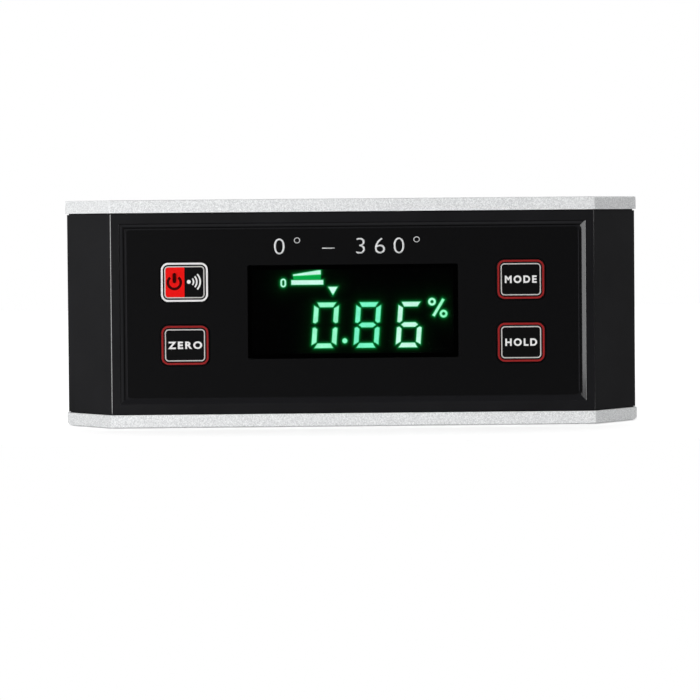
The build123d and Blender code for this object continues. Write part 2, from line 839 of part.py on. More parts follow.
with BuildPart() as buzzer:
    with BuildSketch(on_board(buzzer_height)):
        with Locations((buzzer_x, 0)):
            Circle(buzzer_diameter / 2)
    extrude(amount=buzzer_height)
    with BuildSketch(on_board(buzzer_height)):
        with Locations((buzzer_x, 0)):
            Circle(buzzer_hole / 2)
    extrude(amount=buzzer_hole, mode=Mode.SUBTRACT)
buzzer.part.label = "buzzer"
export_step(buzzer.part, "parts/buzzer.step")

with BuildPart() as filter_capacitors:
    with BuildSketch(on_board(capacitor_height)):
        with Locations((-end_part_x, capacitor_z)):
            with GridLocations(capacitor_spacing, 0, 2, 1):
                Circle(capacitor_diameter / 2)
    extrude(amount=capacitor_height)
filter_capacitors.part.label = "filter_capacitors"
export_step(filter_capacitors.part, "parts/filter_capacitors.step")


# Cells: the upper one points right and the lower one left
contact_face_x = bay_length / 2 - contact_thickness
for cell_name, side in (("upper", 1), ("lower", -1)):
    axis_z = overall_height / 2 + side * cell_z
    nub_end = Plane(origin=(side * contact_face_x, cell_y, axis_z), x_dir=(0, 1, 0), z_dir=(-side, 0, 0))
    with BuildPart() as cell:
        with BuildSketch(nub_end):
            Circle(cell_nub_diameter / 2)
        extrude(amount=cell_nub_length)
        with BuildSketch(nub_end.offset(cell_nub_length)):
            Circle(cell_diameter / 2)
        extrude(amount=cell_length - cell_nub_length)
        wide_rims = cell.edges().filter_by(GeomType.CIRCLE).sort_by(SortBy.RADIUS)[-2:]
        fillet(wide_rims, radius=cell_edge)
    cell.part.label = f"{cell_name}_cell"
    export_step(cell.part, f"parts/{cell_name}_cell.step")

    with BuildPart() as spring:
        turns_height = spring_length - spring_wire - 2 * spring_gap
        with BuildLine() as coil:
            Helix(
                pitch=turns_height / spring_turns,
                height=turns_height,
                radius=(spring_base_diameter - spring_wire) / 2,
                center=(-side * (contact_face_x - spring_wire / 2 - spring_gap), cell_y, axis_z),
                direction=(side, 0, 0),
                cone_angle=-spring_cone,
            )
        with BuildSketch(coil.line ^ 0):
            Circle(spring_wire / 2)
        sweep(is_frenet=True)
    spring.part.label = f"{cell_name}_cell_spring"
    export_step(spring.part, f"parts/{cell_name}_cell_spring.step")


# Contact plates: a bridge at the left, and one plate for each cell at the right
plate_height = cell_y + cell_diameter / 2 - bay_floor_y - contact_foot
with BuildPart() as bridge_contact:
    with BuildSketch(Plane.YZ.offset(-bay_length / 2)):
        with Locations((bay_floor_y, overall_height / 2)):
            Rectangle(plate_height, 2 * cell_z + contact_width, align=(Align.MIN, Align.CENTER))
    extrude(amount=contact_thickness)
    fillet(bridge_contact.edges().filter_by(Axis.X), radius=contact_foot)
bridge_contact.part.label = "bridge_contact"
export_step(bridge_contact.part, "parts/bridge_contact.step")

for contact_name, side in (("positive", 1), ("negative", -1)):
    axis_z = overall_height / 2 + side * cell_z
    with BuildPart() as contact:
        with BuildSketch(Plane.YZ.offset(contact_face_x)):
            with Locations((bay_floor_y, axis_z)):
                Rectangle(plate_height, contact_width, align=(Align.MIN, Align.CENTER))
                Rectangle(tub_floor + tail_stand, tail_width, align=(Align.MAX, Align.CENTER))
        extrude(amount=contact_thickness)
        fillet(contact.edges().filter_by(Axis.X).group_by(Axis.Y)[-1], radius=contact_foot)
    contact.part.label = f"{contact_name}_contact"
    export_step(contact.part, f"parts/{contact_name}_contact.step")

    # Lead from the contact's tail across to the board
    tail_end_y = tub_front_y - tail_stand
    lead_y = (tail_end_y + board_back_y) / 2
    with BuildPart() as lead:
        with BuildLine() as route:
            FilletPolyline(
                (lead_x, tail_end_y, axis_z),
                (lead_x, lead_y, axis_z),
                (lead_x + lead_run, lead_y, axis_z),
                (lead_x + lead_run, board_back_y, axis_z),
                radius=lead_bend,
            )
        with BuildSketch(route.line ^ 0):
            Circle(lead_diameter / 2)
        sweep()
    lead.part.label = f"{contact_name}_lead"
    export_step(lead.part, f"parts/{contact_name}_lead.step")


# Disc magnets
for magnet_name, side in (("left", -1), ("right", 1)):
    with BuildPart() as magnet:
        with BuildSketch(Plane.XY.offset(groove_depth)):
            with Locations((side * magnet_spacing / 2, 0)):
                Circle(magnet_diameter / 2)
        extrude(amount=magnet_thickness)
        chamfer(magnet.edges().filter_by(GeomType.CIRCLE), length=rail_edge_break)
    magnet.part.label = f"{magnet_name}_magnet"
    export_step(magnet.part, f"parts/{magnet_name}_magnet.step")


# Screws
for rail_name, face_z, inward in (("top", overall_height, -1), ("bottom", 0, 1)):
    with BuildPart() as rail_screws:
        taper_depth = (rail_screw_head - rail_screw_diameter) / 2 / tan(radians(countersink_angle / 2))
        with BuildSketch(Plane.XY.offset(face_z)):
            with GridLocations(rail_screw_spacing_x, rail_screw_spacing_y, 2, 2):
                Circle(rail_screw_head / 2)
        extrude(amount=inward * taper_depth, taper=countersink_angle / 2)
        with BuildSketch(Plane.XY.offset(face_z)):
            with GridLocations(rail_screw_spacing_x, rail_screw_spacing_y, 2, 2):
                Circle(rail_screw_diameter / 2)
        extrude(amount=inward * rail_screw_length)
        with BuildSketch(Plane.XY.offset(face_z)):
            with GridLocations(rail_screw_spacing_x, rail_screw_spacing_y, 2, 2):
                Rectangle(rail_screw_diameter, drive_width)
                Rectangle(drive_width, rail_screw_diameter)
        extrude(amount=inward * drive_depth, mode=Mode.SUBTRACT)
    rail_screws.part.label = f"{rail_name}_rail_screws"
    export_step(rail_screws.part, f"parts/{rail_name}_rail_screws.step")

with BuildPart() as cover_screws:
    head_y = rear_y - head_setback
    with BuildSketch(facing(head_y)):
        with GridLocations(cover_screw_spacing_x, cover_screw_spacing_z, 2, 2):
            Circle(cover_screw_head / 2)
    extrude(amount=cover_screw_head_height)
    chamfer(cover_screws.faces().sort_by(Axis.Y)[-4:].edges(), length=head_setback)
    with BuildSketch(facing(head_y - cover_screw_head_height)):
        with GridLocations(cover_screw_spacing_x, cover_screw_spacing_z, 2, 2):
            Circle(cover_screw_diameter / 2)
    extrude(amount=cover_screw_length)
    with BuildSketch(facing(head_y)):
        with GridLocations(cover_screw_spacing_x, cover_screw_spacing_z, 2, 2):
            Rectangle(cover_screw_diameter, drive_width)
            Rectangle(drive_width, cover_screw_diameter)
    extrude(amount=drive_depth, mode=Mode.SUBTRACT)
cover_screws.part.label = "cover_screws"
export_step(cover_screws.part, "parts/cover_screws.step")

with BuildPart() as board_screws:
    with BuildSketch(facing(board_back_y + board_screw_head_height)):
        with GridLocations(post_spacing_x, post_spacing_z, 2, 2):
            Circle(board_screw_head / 2)
    extrude(amount=board_screw_head_height)
    with BuildSketch(facing(board_back_y)):
        with GridLocations(post_spacing_x, post_spacing_z, 2, 2):
            Circle(board_screw_diameter / 2)
    extrude(amount=board_screw_length)
board_screws.part.label = "board_screws"
export_step(board_screws.part, "parts/board_screws.step")
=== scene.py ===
import bpy
import math
from mathutils import Matrix, Vector
from mathutils.bvhtree import BVHTree


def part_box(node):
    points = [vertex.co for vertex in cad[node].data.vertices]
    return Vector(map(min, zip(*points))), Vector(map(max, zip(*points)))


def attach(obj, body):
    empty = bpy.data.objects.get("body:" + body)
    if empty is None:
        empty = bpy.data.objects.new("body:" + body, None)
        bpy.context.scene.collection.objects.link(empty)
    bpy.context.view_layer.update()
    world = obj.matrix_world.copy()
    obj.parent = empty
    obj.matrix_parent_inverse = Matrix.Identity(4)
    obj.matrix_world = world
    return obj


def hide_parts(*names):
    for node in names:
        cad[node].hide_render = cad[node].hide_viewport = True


# A digital level inclinometer, dressed over its CAD frame. Sizes are written in
# millimetres and turned to metres by MM. The display faces -Y, and +Z is up.
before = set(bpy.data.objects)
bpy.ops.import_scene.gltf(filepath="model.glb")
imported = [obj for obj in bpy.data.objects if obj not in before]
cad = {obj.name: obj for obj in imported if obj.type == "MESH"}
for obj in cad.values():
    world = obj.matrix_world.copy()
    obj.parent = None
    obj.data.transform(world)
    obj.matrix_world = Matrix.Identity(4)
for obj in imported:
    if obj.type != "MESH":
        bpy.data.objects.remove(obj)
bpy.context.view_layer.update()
MM = 0.001


# Camera: a long lens a little left of the middle, level with the upper rail. Its small
# roll is the photograph's own, and the shift is a part of the framing only.
camera_place = Vector((-18.0, -714.4, 55.0)) * MM
camera_right_turn = math.radians(0.961)
camera_down_tilt = math.radians(1.346)
camera_roll = math.radians(0.494)
camera_lens, camera_sensor = 136.8, 36.0
framing_shift = (0.03, -0.10)
camera_data = bpy.data.cameras.new("product_camera")
camera_data.lens = camera_lens
camera_data.sensor_width = camera_sensor
camera_data.shift_x, camera_data.shift_y = framing_shift
camera = bpy.data.objects.new("product_camera", camera_data)
bpy.context.scene.collection.objects.link(camera)
camera.matrix_world = (
    Matrix.Translation(camera_place)
    @ Matrix.Rotation(-camera_right_turn, 4, "Z")
    @ Matrix.Rotation(math.pi / 2 - camera_down_tilt, 4, "X")
    @ Matrix.Rotation(-camera_roll, 4, "Z")
)
bpy.context.scene.camera = camera


# Light and surroundings: a large softbox front left, a weaker one front right, one high
# and one low behind, and a strip at each side, in a room that is dark behind the camera.
# Each has its place and size in millimetres, and the level at which it shines.
light_aim = Vector((0, 0, 30)) * MM
softboxes = {
    "key_softbox": ((-720, -1080, 320), (1000, 1000), 5.6),
    "fill_softbox": ((950, -1000, 460), (800, 800), 3.8),
    "top_softbox": ((0, 650, 1150), (1300, 900), 1.8),
    "left_strip": ((-1150, -160, 60), (560, 900), 1.8),
    "right_strip": ((1150, 100, 60), (300, 900), 0.5),
    "rear_softbox": ((760, 1150, 90), (900, 500), 2.2),
}
for light_name, (place, size, brightness) in softboxes.items():
    light_data = bpy.data.lights.new(light_name, "AREA")
    light_data.shape = "RECTANGLE"
    light_data.size, light_data.size_y = size[0] * MM, size[1] * MM
    light_data.energy = brightness * math.pi * light_data.size * light_data.size_y
    light = bpy.data.objects.new(light_name, light_data)
    light.location = Vector(place) * MM
    light.rotation_euler = (light_aim - light.location).to_track_quat("-Z", "Y").to_euler()
    light.visible_camera = False
    bpy.context.scene.collection.objects.link(light)


def add_node(tree, kind, settings=None, sockets=None):
    """Adds one node, sets its properties, and sets or links its input sockets."""
    node = tree.nodes.new(kind)
    for name, value in (settings or {}).items():
        setattr(node, name, value)
    for socket, value in (sockets or {}).items():
        if isinstance(value, bpy.types.NodeSocket):
            tree.links.new(value, node.inputs[socket])
        else:
            node.inputs[socket].default_value = value
    return node


def linear(colour):
    """Linear RGBA of an sRGB hex colour."""
    values = [int(colour[i:i + 2], 16) / 255 for i in (1, 3, 5)]
    return [v / 12.92 if v <= 0.04045 else ((v + 0.055) / 1.055) ** 2.4 for v in values] + [1.0]


# The room is dark grey in front of the object and pale behind it. The camera, gloss and glass
# see the backdrop as white.
room_level = 0.6
dark_to_pale_start, dark_to_pale_end = -0.05, 0.6
room = bpy.data.worlds.new("studio_room")
bpy.context.scene.world = room
room.use_nodes = True
tree = room.node_tree
tree.nodes.clear()
room_place = add_node(tree, "ShaderNodeTexCoord").outputs["Generated"]
direction = add_node(tree, "ShaderNodeSeparateXYZ", sockets={0: room_place})
behind = add_node(tree, "ShaderNodeMapRange", sockets={
    "Value": direction.outputs["Y"], "From Min": dark_to_pale_start, "From Max": dark_to_pale_end,
    "To Min": 0.0, "To Max": 1.0})
room_colour = add_node(tree, "ShaderNodeMix", {"data_type": "RGBA"}, {
    "Factor": behind.outputs[0], 6: linear("#1c1c1e"), 7: linear("#d8d9da")})
rays = add_node(tree, "ShaderNodeLightPath")
seen_through = add_node(tree, "ShaderNodeMath", {"operation": "MAXIMUM"}, {
    0: rays.outputs["Is Glossy Ray"], 1: rays.outputs["Is Transmission Ray"]})
backdrop_share = add_node(tree, "ShaderNodeMath", {"operation": "MULTIPLY"}, {
    0: seen_through.outputs[0], 1: behind.outputs[0]})
white_share = add_node(tree, "ShaderNodeMath", {"operation": "MAXIMUM"}, {
    0: rays.outputs["Is Camera Ray"], 1: backdrop_share.outputs[0]})
dim_room = add_node(tree, "ShaderNodeBackground", sockets={
    "Color": room_colour.outputs[2], "Strength": room_level})
white_room = add_node(tree, "ShaderNodeBackground", sockets={
    "Color": linear("#ffffff"), "Strength": 1.0})
mixed_room = add_node(tree, "ShaderNodeMixShader", sockets={
    0: white_share.outputs[0], 1: dim_room.outputs[0], 2: white_room.outputs[0]})
add_node(tree, "ShaderNodeOutputWorld", sockets={"Surface": mixed_room.outputs[0]})

# The floor ends just in front of the object, so that both rails get the same light.
floor_middle = (0, 420 * MM, -0.2 * MM)
floor_length, floor_depth = 1100 * MM, 960 * MM
paper_lift = 0.62
bpy.ops.object.select_all(action="DESELECT")
bpy.ops.mesh.primitive_plane_add(size=1.0, location=floor_middle)
floor = bpy.context.object
floor.name = "studio_floor"
floor.scale = (floor_length, floor_depth, 1.0)
bpy.ops.object.transform_apply(location=True, rotation=True, scale=True)
floor_paper = bpy.data.materials.new("white_studio_paper")
floor_paper.use_nodes = True
tree = floor_paper.node_tree
tree.nodes.clear()
rays = add_node(tree, "ShaderNodeLightPath")
matt = add_node(tree, "ShaderNodeBsdfDiffuse", sockets={"Color": linear("#dcdcdc")})
lift = add_node(tree, "ShaderNodeMath", {"operation": "MULTIPLY"}, {
    0: rays.outputs["Is Camera Ray"], 1: paper_lift})
glow = add_node(tree, "ShaderNodeEmission", sockets={
    "Color": linear("#ffffff"), "Strength": lift.outputs[0]})
paper = add_node(tree, "ShaderNodeAddShader", sockets={0: matt.outputs[0], 1: glow.outputs[0]})
add_node(tree, "ShaderNodeOutputMaterial", sockets={"Surface": paper.outputs[0]})
floor.data.materials.append(floor_paper)

bpy.context.scene.view_settings.view_transform = "Standard"


# Rails: two aluminium plates, milled, bead-blasted and clear anodised, each held to the
# case by four countersunk screws. The lower one has the V groove and the magnets.
def new_finish(name):
    """An empty node material, and the socket that gives places on the object."""
    finish = bpy.data.materials.new(name)
    finish.use_nodes = True
    finish.node_tree.nodes.clear()
    return finish, finish.node_tree, add_node(finish.node_tree, "ShaderNodeTexCoord").outputs["Object"]


def dress(finish, *names):
    """Gives CAD nodes a finish in all their material slots."""
    for name in names:
        for slot in cad[name].material_slots:
            slot.material = finish


# Blasted aluminium: an even, sparkling grey with no direction. The real pits are finer than
# the render can show, so they are drawn 0.28 mm apart.
aluminium, tree, place = new_finish("bead_blasted_aluminium")
pit_spacing = 0.28 * MM
pits = add_node(tree, "ShaderNodeTexNoise", sockets={
    "Vector": place, "Scale": 1 / pit_spacing, "Detail": 3.0, "Roughness": 0.6})
tone = add_node(tree, "ShaderNodeValToRGB", sockets={"Fac": pits.outputs["Fac"]})
tone.color_ramp.elements[0].position, tone.color_ramp.elements[0].color = 0.3, linear("#d3d4d5")
tone.color_ramp.elements[1].position, tone.color_ramp.elements[1].color = 0.7, linear("#f9fafa")
dents = add_node(tree, "ShaderNodeBump", sockets={
    "Height": pits.outputs["Fac"], "Distance": 0.02 * MM, "Strength": 0.6})
metal = add_node(tree, "ShaderNodeBsdfPrincipled", sockets={
    "Base Color": tone.outputs[0], "Metallic": 1.0, "Roughness": 0.74, "Normal": dents.outputs[0]})
add_node(tree, "ShaderNodeOutputMaterial", sockets={"Surface": metal.outputs[0]})
dress(aluminium, "top_rail", "bottom_rail")


# Case: a deep front housing and a shallow rear cover, moulded in black ABS. The tool was
# spark-eroded, so the skin is matt, but the recess bevel and the corners come out smoother.
case_low, case_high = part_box("front_housing")
panel_low, panel_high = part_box("keypad_panel")
bevel_reach = 1.6 * MM
recess_play = 0.2 * MM

# Eroded ABS: deep black with a soft sheen, and a grain of 0.3 mm that only breaks the light.
# The recess bevel has painted light, a lighter band between two painted dark lines of shade,
# and the wall that faces up a darker painted tone of its own; its right end wall and the
# corners of the case mirror the softboxes.
abs_skin, tree, place = new_finish("black_abs_eroded")
grain_spacing = 0.3 * MM
grain = add_node(tree, "ShaderNodeTexNoise", sockets={
    "Vector": place, "Scale": 1 / grain_spacing, "Detail": 2.0})
cloud_spacing = 14 * MM
cloud = add_node(tree, "ShaderNodeTexNoise", sockets={
    "Vector": place, "Scale": 1 / cloud_spacing, "Detail": 3.0})
shade = add_node(tree, "ShaderNodeValToRGB", sockets={"Fac": cloud.outputs["Fac"]})
shade.color_ramp.elements[0].position, shade.color_ramp.elements[0].color = 0.3, linear("#101012")
shade.color_ramp.elements[1].position, shade.color_ramp.elements[1].color = 0.7, linear("#151517")
eroded = add_node(tree, "ShaderNodeBump", sockets={
    "Height": grain.outputs["Fac"], "Distance": 0.008 * MM, "Strength": 0.7})

# The recess: all that lies inside its outline, from the front face to the overlay's back.
spot = add_node(tree, "ShaderNodeSeparateXYZ", sockets={0: place})
inside_x = add_node(tree, "ShaderNodeMath", {"operation": "COMPARE"}, {
    0: spot.outputs["X"], 1: 0.0, 2: panel_high.x + bevel_reach})
inside_z = add_node(tree, "ShaderNodeMath", {"operation": "COMPARE"}, {
    0: spot.outputs["Z"], 1: (panel_low.z + panel_high.z) / 2,
    2: (panel_high.z - panel_low.z) / 2 + bevel_reach})
in_front = add_node(tree, "ShaderNodeMath", {"operation": "LESS_THAN"}, {
    0: spot.outputs["Y"], 1: panel_high.y + recess_play})
inside = add_node(tree, "ShaderNodeMath", {"operation": "MULTIPLY"}, {
    0: inside_x.outputs[0], 1: inside_z.outputs[0]})
in_recess = add_node(tree, "ShaderNodeMath", {"operation": "MULTIPLY"}, {
    0: inside.outputs[0], 1: in_front.outputs[0]})

# Its sloped walls, told from the floor by the way they face, with a painted tone for each depth:
# painted shade as a dark line at the rim's edge and in the groove by the film, and painted light
# as a lighter band between them.
looks_front, looks_up, looks_left = -0.9, 0.3, -0.3
face_direction = add_node(tree, "ShaderNodeTexCoord").outputs["Normal"]
facing = add_node(tree, "ShaderNodeSeparateXYZ", sockets={0: face_direction})
sloped = add_node(tree, "ShaderNodeMath", {"operation": "GREATER_THAN"}, {
    0: facing.outputs["Y"], 1: looks_front})
on_wall = add_node(tree, "ShaderNodeMath", {"operation": "MULTIPLY"}, {
    0: in_recess.outputs[0], 1: sloped.outputs[0]})
wall_depth = add_node(tree, "ShaderNodeMapRange", sockets={
    "Value": spot.outputs["Y"], "From Min": case_low.y, "From Max": panel_high.y,
    "To Min": 0.0, "To Max": 1.0})
painted_wall_tone = add_node(tree, "ShaderNodeValToRGB", sockets={"Fac": wall_depth.outputs[0]})
painted_wall_tone.color_ramp.elements[0].position, painted_wall_tone.color_ramp.elements[0].color = 0.1, linear("#0a0a0b")
painted_wall_tone.color_ramp.elements[1].position, painted_wall_tone.color_ramp.elements[1].color = 1.0, linear("#0a0a0b")
for step, colour in ((0.24, "#2b2b2d"), (0.6, "#29292b"), (0.8, "#121213")):
    painted_wall_tone.color_ramp.elements.new(step).color = linear(colour)
# Painted light and shade by facing: the wall that faces up takes one even painted tone, darker than the
# band on the other walls, and these painted tones are laid over the case's own mottled black on the
# recess walls.
facing_up = add_node(tree, "ShaderNodeMath", {"operation": "GREATER_THAN"}, {
    0: facing.outputs["Z"], 1: looks_up})
painted_wall_colour = add_node(tree, "ShaderNodeMix", {"data_type": "RGBA"}, {
    "Factor": facing_up.outputs[0], 6: painted_wall_tone.outputs[0], 7: linear("#19191b")})
case_colour_with_painted_walls = add_node(tree, "ShaderNodeMix", {"data_type": "RGBA"}, {
    "Factor": on_wall.outputs[0], 6: shade.outputs[0], 7: painted_wall_colour.outputs[2]})

# Polish: the end wall of the recess that looks to the left, and the turn into each chamfer.
corner_looks_side, corner_play, corner_looks_front = 0.36, 0.24, -0.5
on_end_wall = add_node(tree, "ShaderNodeMath", {"operation": "LESS_THAN"}, {
    0: facing.outputs["X"], 1: looks_left})
polished_recess = add_node(tree, "ShaderNodeMath", {"operation": "MULTIPLY"}, {
    0: in_recess.outputs[0], 1: on_end_wall.outputs[0]})
turned = add_node(tree, "ShaderNodeMath", {"operation": "ABSOLUTE"}, {0: facing.outputs["X"]})
on_corner = add_node(tree, "ShaderNodeMath", {"operation": "COMPARE"}, {
    0: turned.outputs[0], 1: corner_looks_side, 2: corner_play})
at_front = add_node(tree, "ShaderNodeMath", {"operation": "LESS_THAN"}, {
    0: facing.outputs["Y"], 1: corner_looks_front})
polished_corner = add_node(tree, "ShaderNodeMath", {"operation": "MULTIPLY"}, {
    0: on_corner.outputs[0], 1: at_front.outputs[0]})
polish = add_node(tree, "ShaderNodeMath", {"operation": "MAXIMUM"}, {
    0: polished_recess.outputs[0], 1: polished_corner.outputs[0]})
skin = add_node(tree, "ShaderNodeBsdfPrincipled", sockets={
    "Base Color": case_colour_with_painted_walls.outputs[2], "Roughness": 0.45, "IOR": 1.53, "Specular IOR Level": 0.08,
    "Coat Weight": polish.outputs[0], "Coat Roughness": 0.12, "Coat IOR": 1.8,
    "Normal": eroded.outputs[0]})
add_node(tree, "ShaderNodeOutputMaterial", sockets={"Surface": skin.outputs[0]})
dress(abs_skin, "front_housing", "rear_cover", "battery_door")


# Overlay: black polyester film with a matt hard coat, printed from behind and stuck into
# the recess. The key caps under it wear the same film, so both share one finish.

# Film: near black and even. The hard coat is too fine to see and is drawn at 0.12 mm, and the
# cut ends of the overlay get a painted highlight, a lighter colour in thin lines.
film, tree, place = new_finish("black_polyester_film")
painted_highlight_width = 0.25 * MM
coat_spacing = 0.12 * MM
coat = add_node(tree, "ShaderNodeTexNoise", sockets={
    "Vector": place, "Scale": 1 / coat_spacing, "Detail": 2.0})
coat_bump = add_node(tree, "ShaderNodeBump", sockets={
    "Height": coat.outputs["Fac"], "Distance": 0.002 * MM, "Strength": 0.6})
shade = add_node(tree, "ShaderNodeValToRGB", sockets={"Fac": coat.outputs["Fac"]})
shade.color_ramp.elements[0].position, shade.color_ramp.elements[0].color = 0.3, linear("#0a0a0b")
shade.color_ramp.elements[1].position, shade.color_ramp.elements[1].color = 0.7, linear("#0d0d0e")
spot = add_node(tree, "ShaderNodeSeparateXYZ", sockets={0: place})
sideways = add_node(tree, "ShaderNodeMath", {"operation": "ABSOLUTE"}, {0: spot.outputs["X"]})
cut_end_painted_highlight = add_node(tree, "ShaderNodeMath", {"operation": "GREATER_THAN"}, {
    0: sideways.outputs[0], 1: panel_high.x - painted_highlight_width})
film_tone_with_painted_highlight = add_node(tree, "ShaderNodeMix", {"data_type": "RGBA"}, {
    "Factor": cut_end_painted_highlight.outputs[0], 6: shade.outputs[0], 7: linear("#222224")})
skin = add_node(tree, "ShaderNodeBsdfPrincipled", sockets={
    "Base Color": film_tone_with_painted_highlight.outputs[2], "Roughness": 0.45, "IOR": 1.57, "Specular IOR Level": 0.03,
    "Normal": coat_bump.outputs[0]})
add_node(tree, "ShaderNodeOutputMaterial", sockets={"Surface": skin.outputs[0]})
dress(film, "keypad_panel", "power_key", "zero_key", "mode_key", "hold_key")


# Title print: the range of the tool in thin plain figures, screen printed in light grey
# on the overlay above the window.
def mottled(name, dark, light, spacing, depth, roughness, metallic=0.0, shine=0.5):
    """A finish whose colour wanders between two near shades and whose surface has a fine bump."""
    finish, tree, place = new_finish(name)
    mottle = add_node(tree, "ShaderNodeTexNoise", sockets={
        "Vector": place, "Scale": 1 / spacing, "Detail": 3.0})
    shade = add_node(tree, "ShaderNodeValToRGB", sockets={"Fac": mottle.outputs["Fac"]})
    shade.color_ramp.elements[0].position, shade.color_ramp.elements[0].color = 0.3, linear(dark)
    shade.color_ramp.elements[1].position, shade.color_ramp.elements[1].color = 0.7, linear(light)
    bumps = add_node(tree, "ShaderNodeBump", sockets={
        "Height": mottle.outputs["Fac"], "Distance": depth, "Strength": 0.7})
    body = add_node(tree, "ShaderNodeBsdfPrincipled", sockets={
        "Base Color": shade.outputs[0], "Metallic": metallic, "Roughness": roughness,
        "Specular IOR Level": shine, "Normal": bumps.outputs[0]})
    add_node(tree, "ShaderNodeOutputMaterial", sockets={"Surface": body.outputs[0]})
    return finish


def printed_words(name, words, cap_height, width, middle, face_y, boldness, letter_space):
    """Printed lettering on a face that looks to -Y, centred on middle (x, z), as a mesh."""
    bpy.ops.object.select_all(action="DESELECT")
    bpy.ops.object.text_add()
    print_object = bpy.context.object
    print_object.name = name
    print_object.data.body = words
    print_object.data.offset = min(boldness, 0)
    print_object.data.bevel_depth = max(boldness, 0)
    print_object.data.space_character = letter_space
    bpy.ops.object.convert(target="MESH")
    bpy.ops.object.mode_set(mode="EDIT")
    bpy.ops.mesh.select_all(action="SELECT")
    bpy.ops.mesh.remove_doubles(threshold=0.0001)
    bpy.ops.mesh.extrude_region_move(TRANSFORM_OT_translate={"value": (0, 0, 1)})
    bpy.ops.mesh.select_all(action="SELECT")
    bpy.ops.mesh.normals_make_consistent(inside=False)
    bpy.ops.object.mode_set(mode="OBJECT")
    corners = [v.co for v in print_object.data.vertices]
    low = Vector(min(c[i] for c in corners) for i in range(3))
    high = Vector(max(c[i] for c in corners) for i in range(3))
    print_object.data.transform(Matrix.Translation(-(low + high) / 2))
    print_object.data.transform(Matrix.Diagonal((
        width / (high.x - low.x), cap_height / (high.y - low.y), ink_thickness / (high.z - low.z), 1)))
    print_object.data.transform(Matrix.Rotation(math.pi / 2, 4, "X"))
    print_object.data.transform(Matrix.Translation((middle[0], face_y - ink_thickness / 2, middle[1])))
    return print_object


ink_thickness = 0.02 * MM
title_words = "0\u00b0 \u2013 360\u00b0"
title_cap_height = 4.4 * MM
title_width = 38.4 * MM
title_place = (-1.45 * MM, 47.6 * MM)
title_boldness, title_space = -0.012, 1.5

# Screen ink: flat and a little chalky, with a mottle of 0.4 mm that hardly shows.
grey_ink = mottled("light_grey_screen_ink", "#d2d3d4", "#dfe0e0", 0.4 * MM, 0.002 * MM, 0.6, shine=0.3)
title = printed_words("title_print", title_words, title_cap_height, title_width, title_place,
                      panel_low.y, title_boldness, title_space)
title.data.materials.append(grey_ink)
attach(title, "housing")


# Keys: four moulded caps that wear the overlay's film. Each has a printed ring and frame, and
# a bold word, or on the power key a red half with the power sign and a sound sign.

# Key inks: the same flat screen ink in white, dull red, bright red, dark red and warm grey.
white_ink = mottled("white_screen_ink", "#d8d7d7", "#e4e3e3", 0.4 * MM, 0.002 * MM, 0.6, shine=0.3)
red_ink = mottled("red_screen_ink", "#82191b", "#90201f", 0.4 * MM, 0.002 * MM, 0.55, shine=0.1)
field_ink = mottled("bright_red_screen_ink", "#dc100d", "#e61310", 0.5 * MM, 0.002 * MM, 0.55, shine=0.05)
sign_ink = mottled("dark_red_screen_ink", "#360303", "#400404", 0.5 * MM, 0.002 * MM, 0.6, shine=0.03)
frame_ink = mottled("frame_grey_screen_ink", "#b4b2b0", "#c2c0be", 0.4 * MM, 0.002 * MM, 0.6, shine=0.3)
dress(white_ink, "power_key_ring")
dress(red_ink, "zero_key_ring", "mode_key_ring", "hold_key_ring")
dress(frame_ink, "power_key_frame", "zero_key_frame", "mode_key_frame", "hold_key_frame")
dress(field_ink, "power_key_field")

legend_cap_height = 2.0 * MM
legend_boldness = 0.04
legend_space = 1.34
legends = {"zero": ("ZERO", 9.0 * MM), "mode": ("MODE", 8.4 * MM), "hold": ("HOLD", 8.4 * MM)}
for key_name, (word, width) in legends.items():
    key_low, key_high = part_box(f"{key_name}_key")
    middle = ((key_low.x + key_high.x) / 2, (key_low.z + key_high.z) / 2)
    legend = printed_words(f"{key_name}_legend", word, legend_cap_height, width, middle, key_low.y,
                           legend_boldness, legend_space)
    legend.data.materials.append(white_ink)
    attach(legend, f"{key_name}_key_body")


def printed_arc(name, middle, radius, stroke, start, end, face_y):
    """A flat printed arc of a circle, from start to end in degrees, anticlockwise from +X."""
    fewest_steps, degrees_a_step = 6, 8
    bpy.ops.object.select_all(action="DESELECT")
    bpy.ops.mesh.primitive_plane_add(size=stroke, location=(0, 0, 0))
    arc = bpy.context.object
    arc.name = name
    for v in arc.data.vertices:
        v.co = Vector((radius + v.co.x, 0, 0))
    bpy.ops.object.mode_set(mode="EDIT")
    bpy.ops.mesh.select_all(action="SELECT")
    bpy.ops.mesh.remove_doubles(threshold=stroke / 100)
    bpy.ops.mesh.select_all(action="SELECT")
    bpy.ops.mesh.spin(steps=max(fewest_steps, int((end - start) / degrees_a_step)),
                      angle=math.radians(end - start), center=(0, 0, 0), axis=(0, 1, 0))
    bpy.ops.mesh.select_all(action="SELECT")
    bpy.ops.mesh.extrude_region_move(TRANSFORM_OT_translate={"value": (0, -ink_thickness, 0)})
    bpy.ops.mesh.select_all(action="SELECT")
    bpy.ops.mesh.normals_make_consistent(inside=False)
    bpy.ops.object.mode_set(mode="OBJECT")
    arc.data.transform(Matrix.Rotation(-math.radians(start), 4, "Y"))
    arc.data.transform(Matrix.Translation((middle[0], face_y, middle[1])))
    return arc


def joined(name, pieces):
    """Several objects as one."""
    bpy.ops.object.select_all(action="DESELECT")
    for piece in pieces:
        piece.select_set(True)
    bpy.context.view_layer.objects.active = pieces[0]
    bpy.ops.object.join()
    pieces[0].name = name
    return pieces[0]


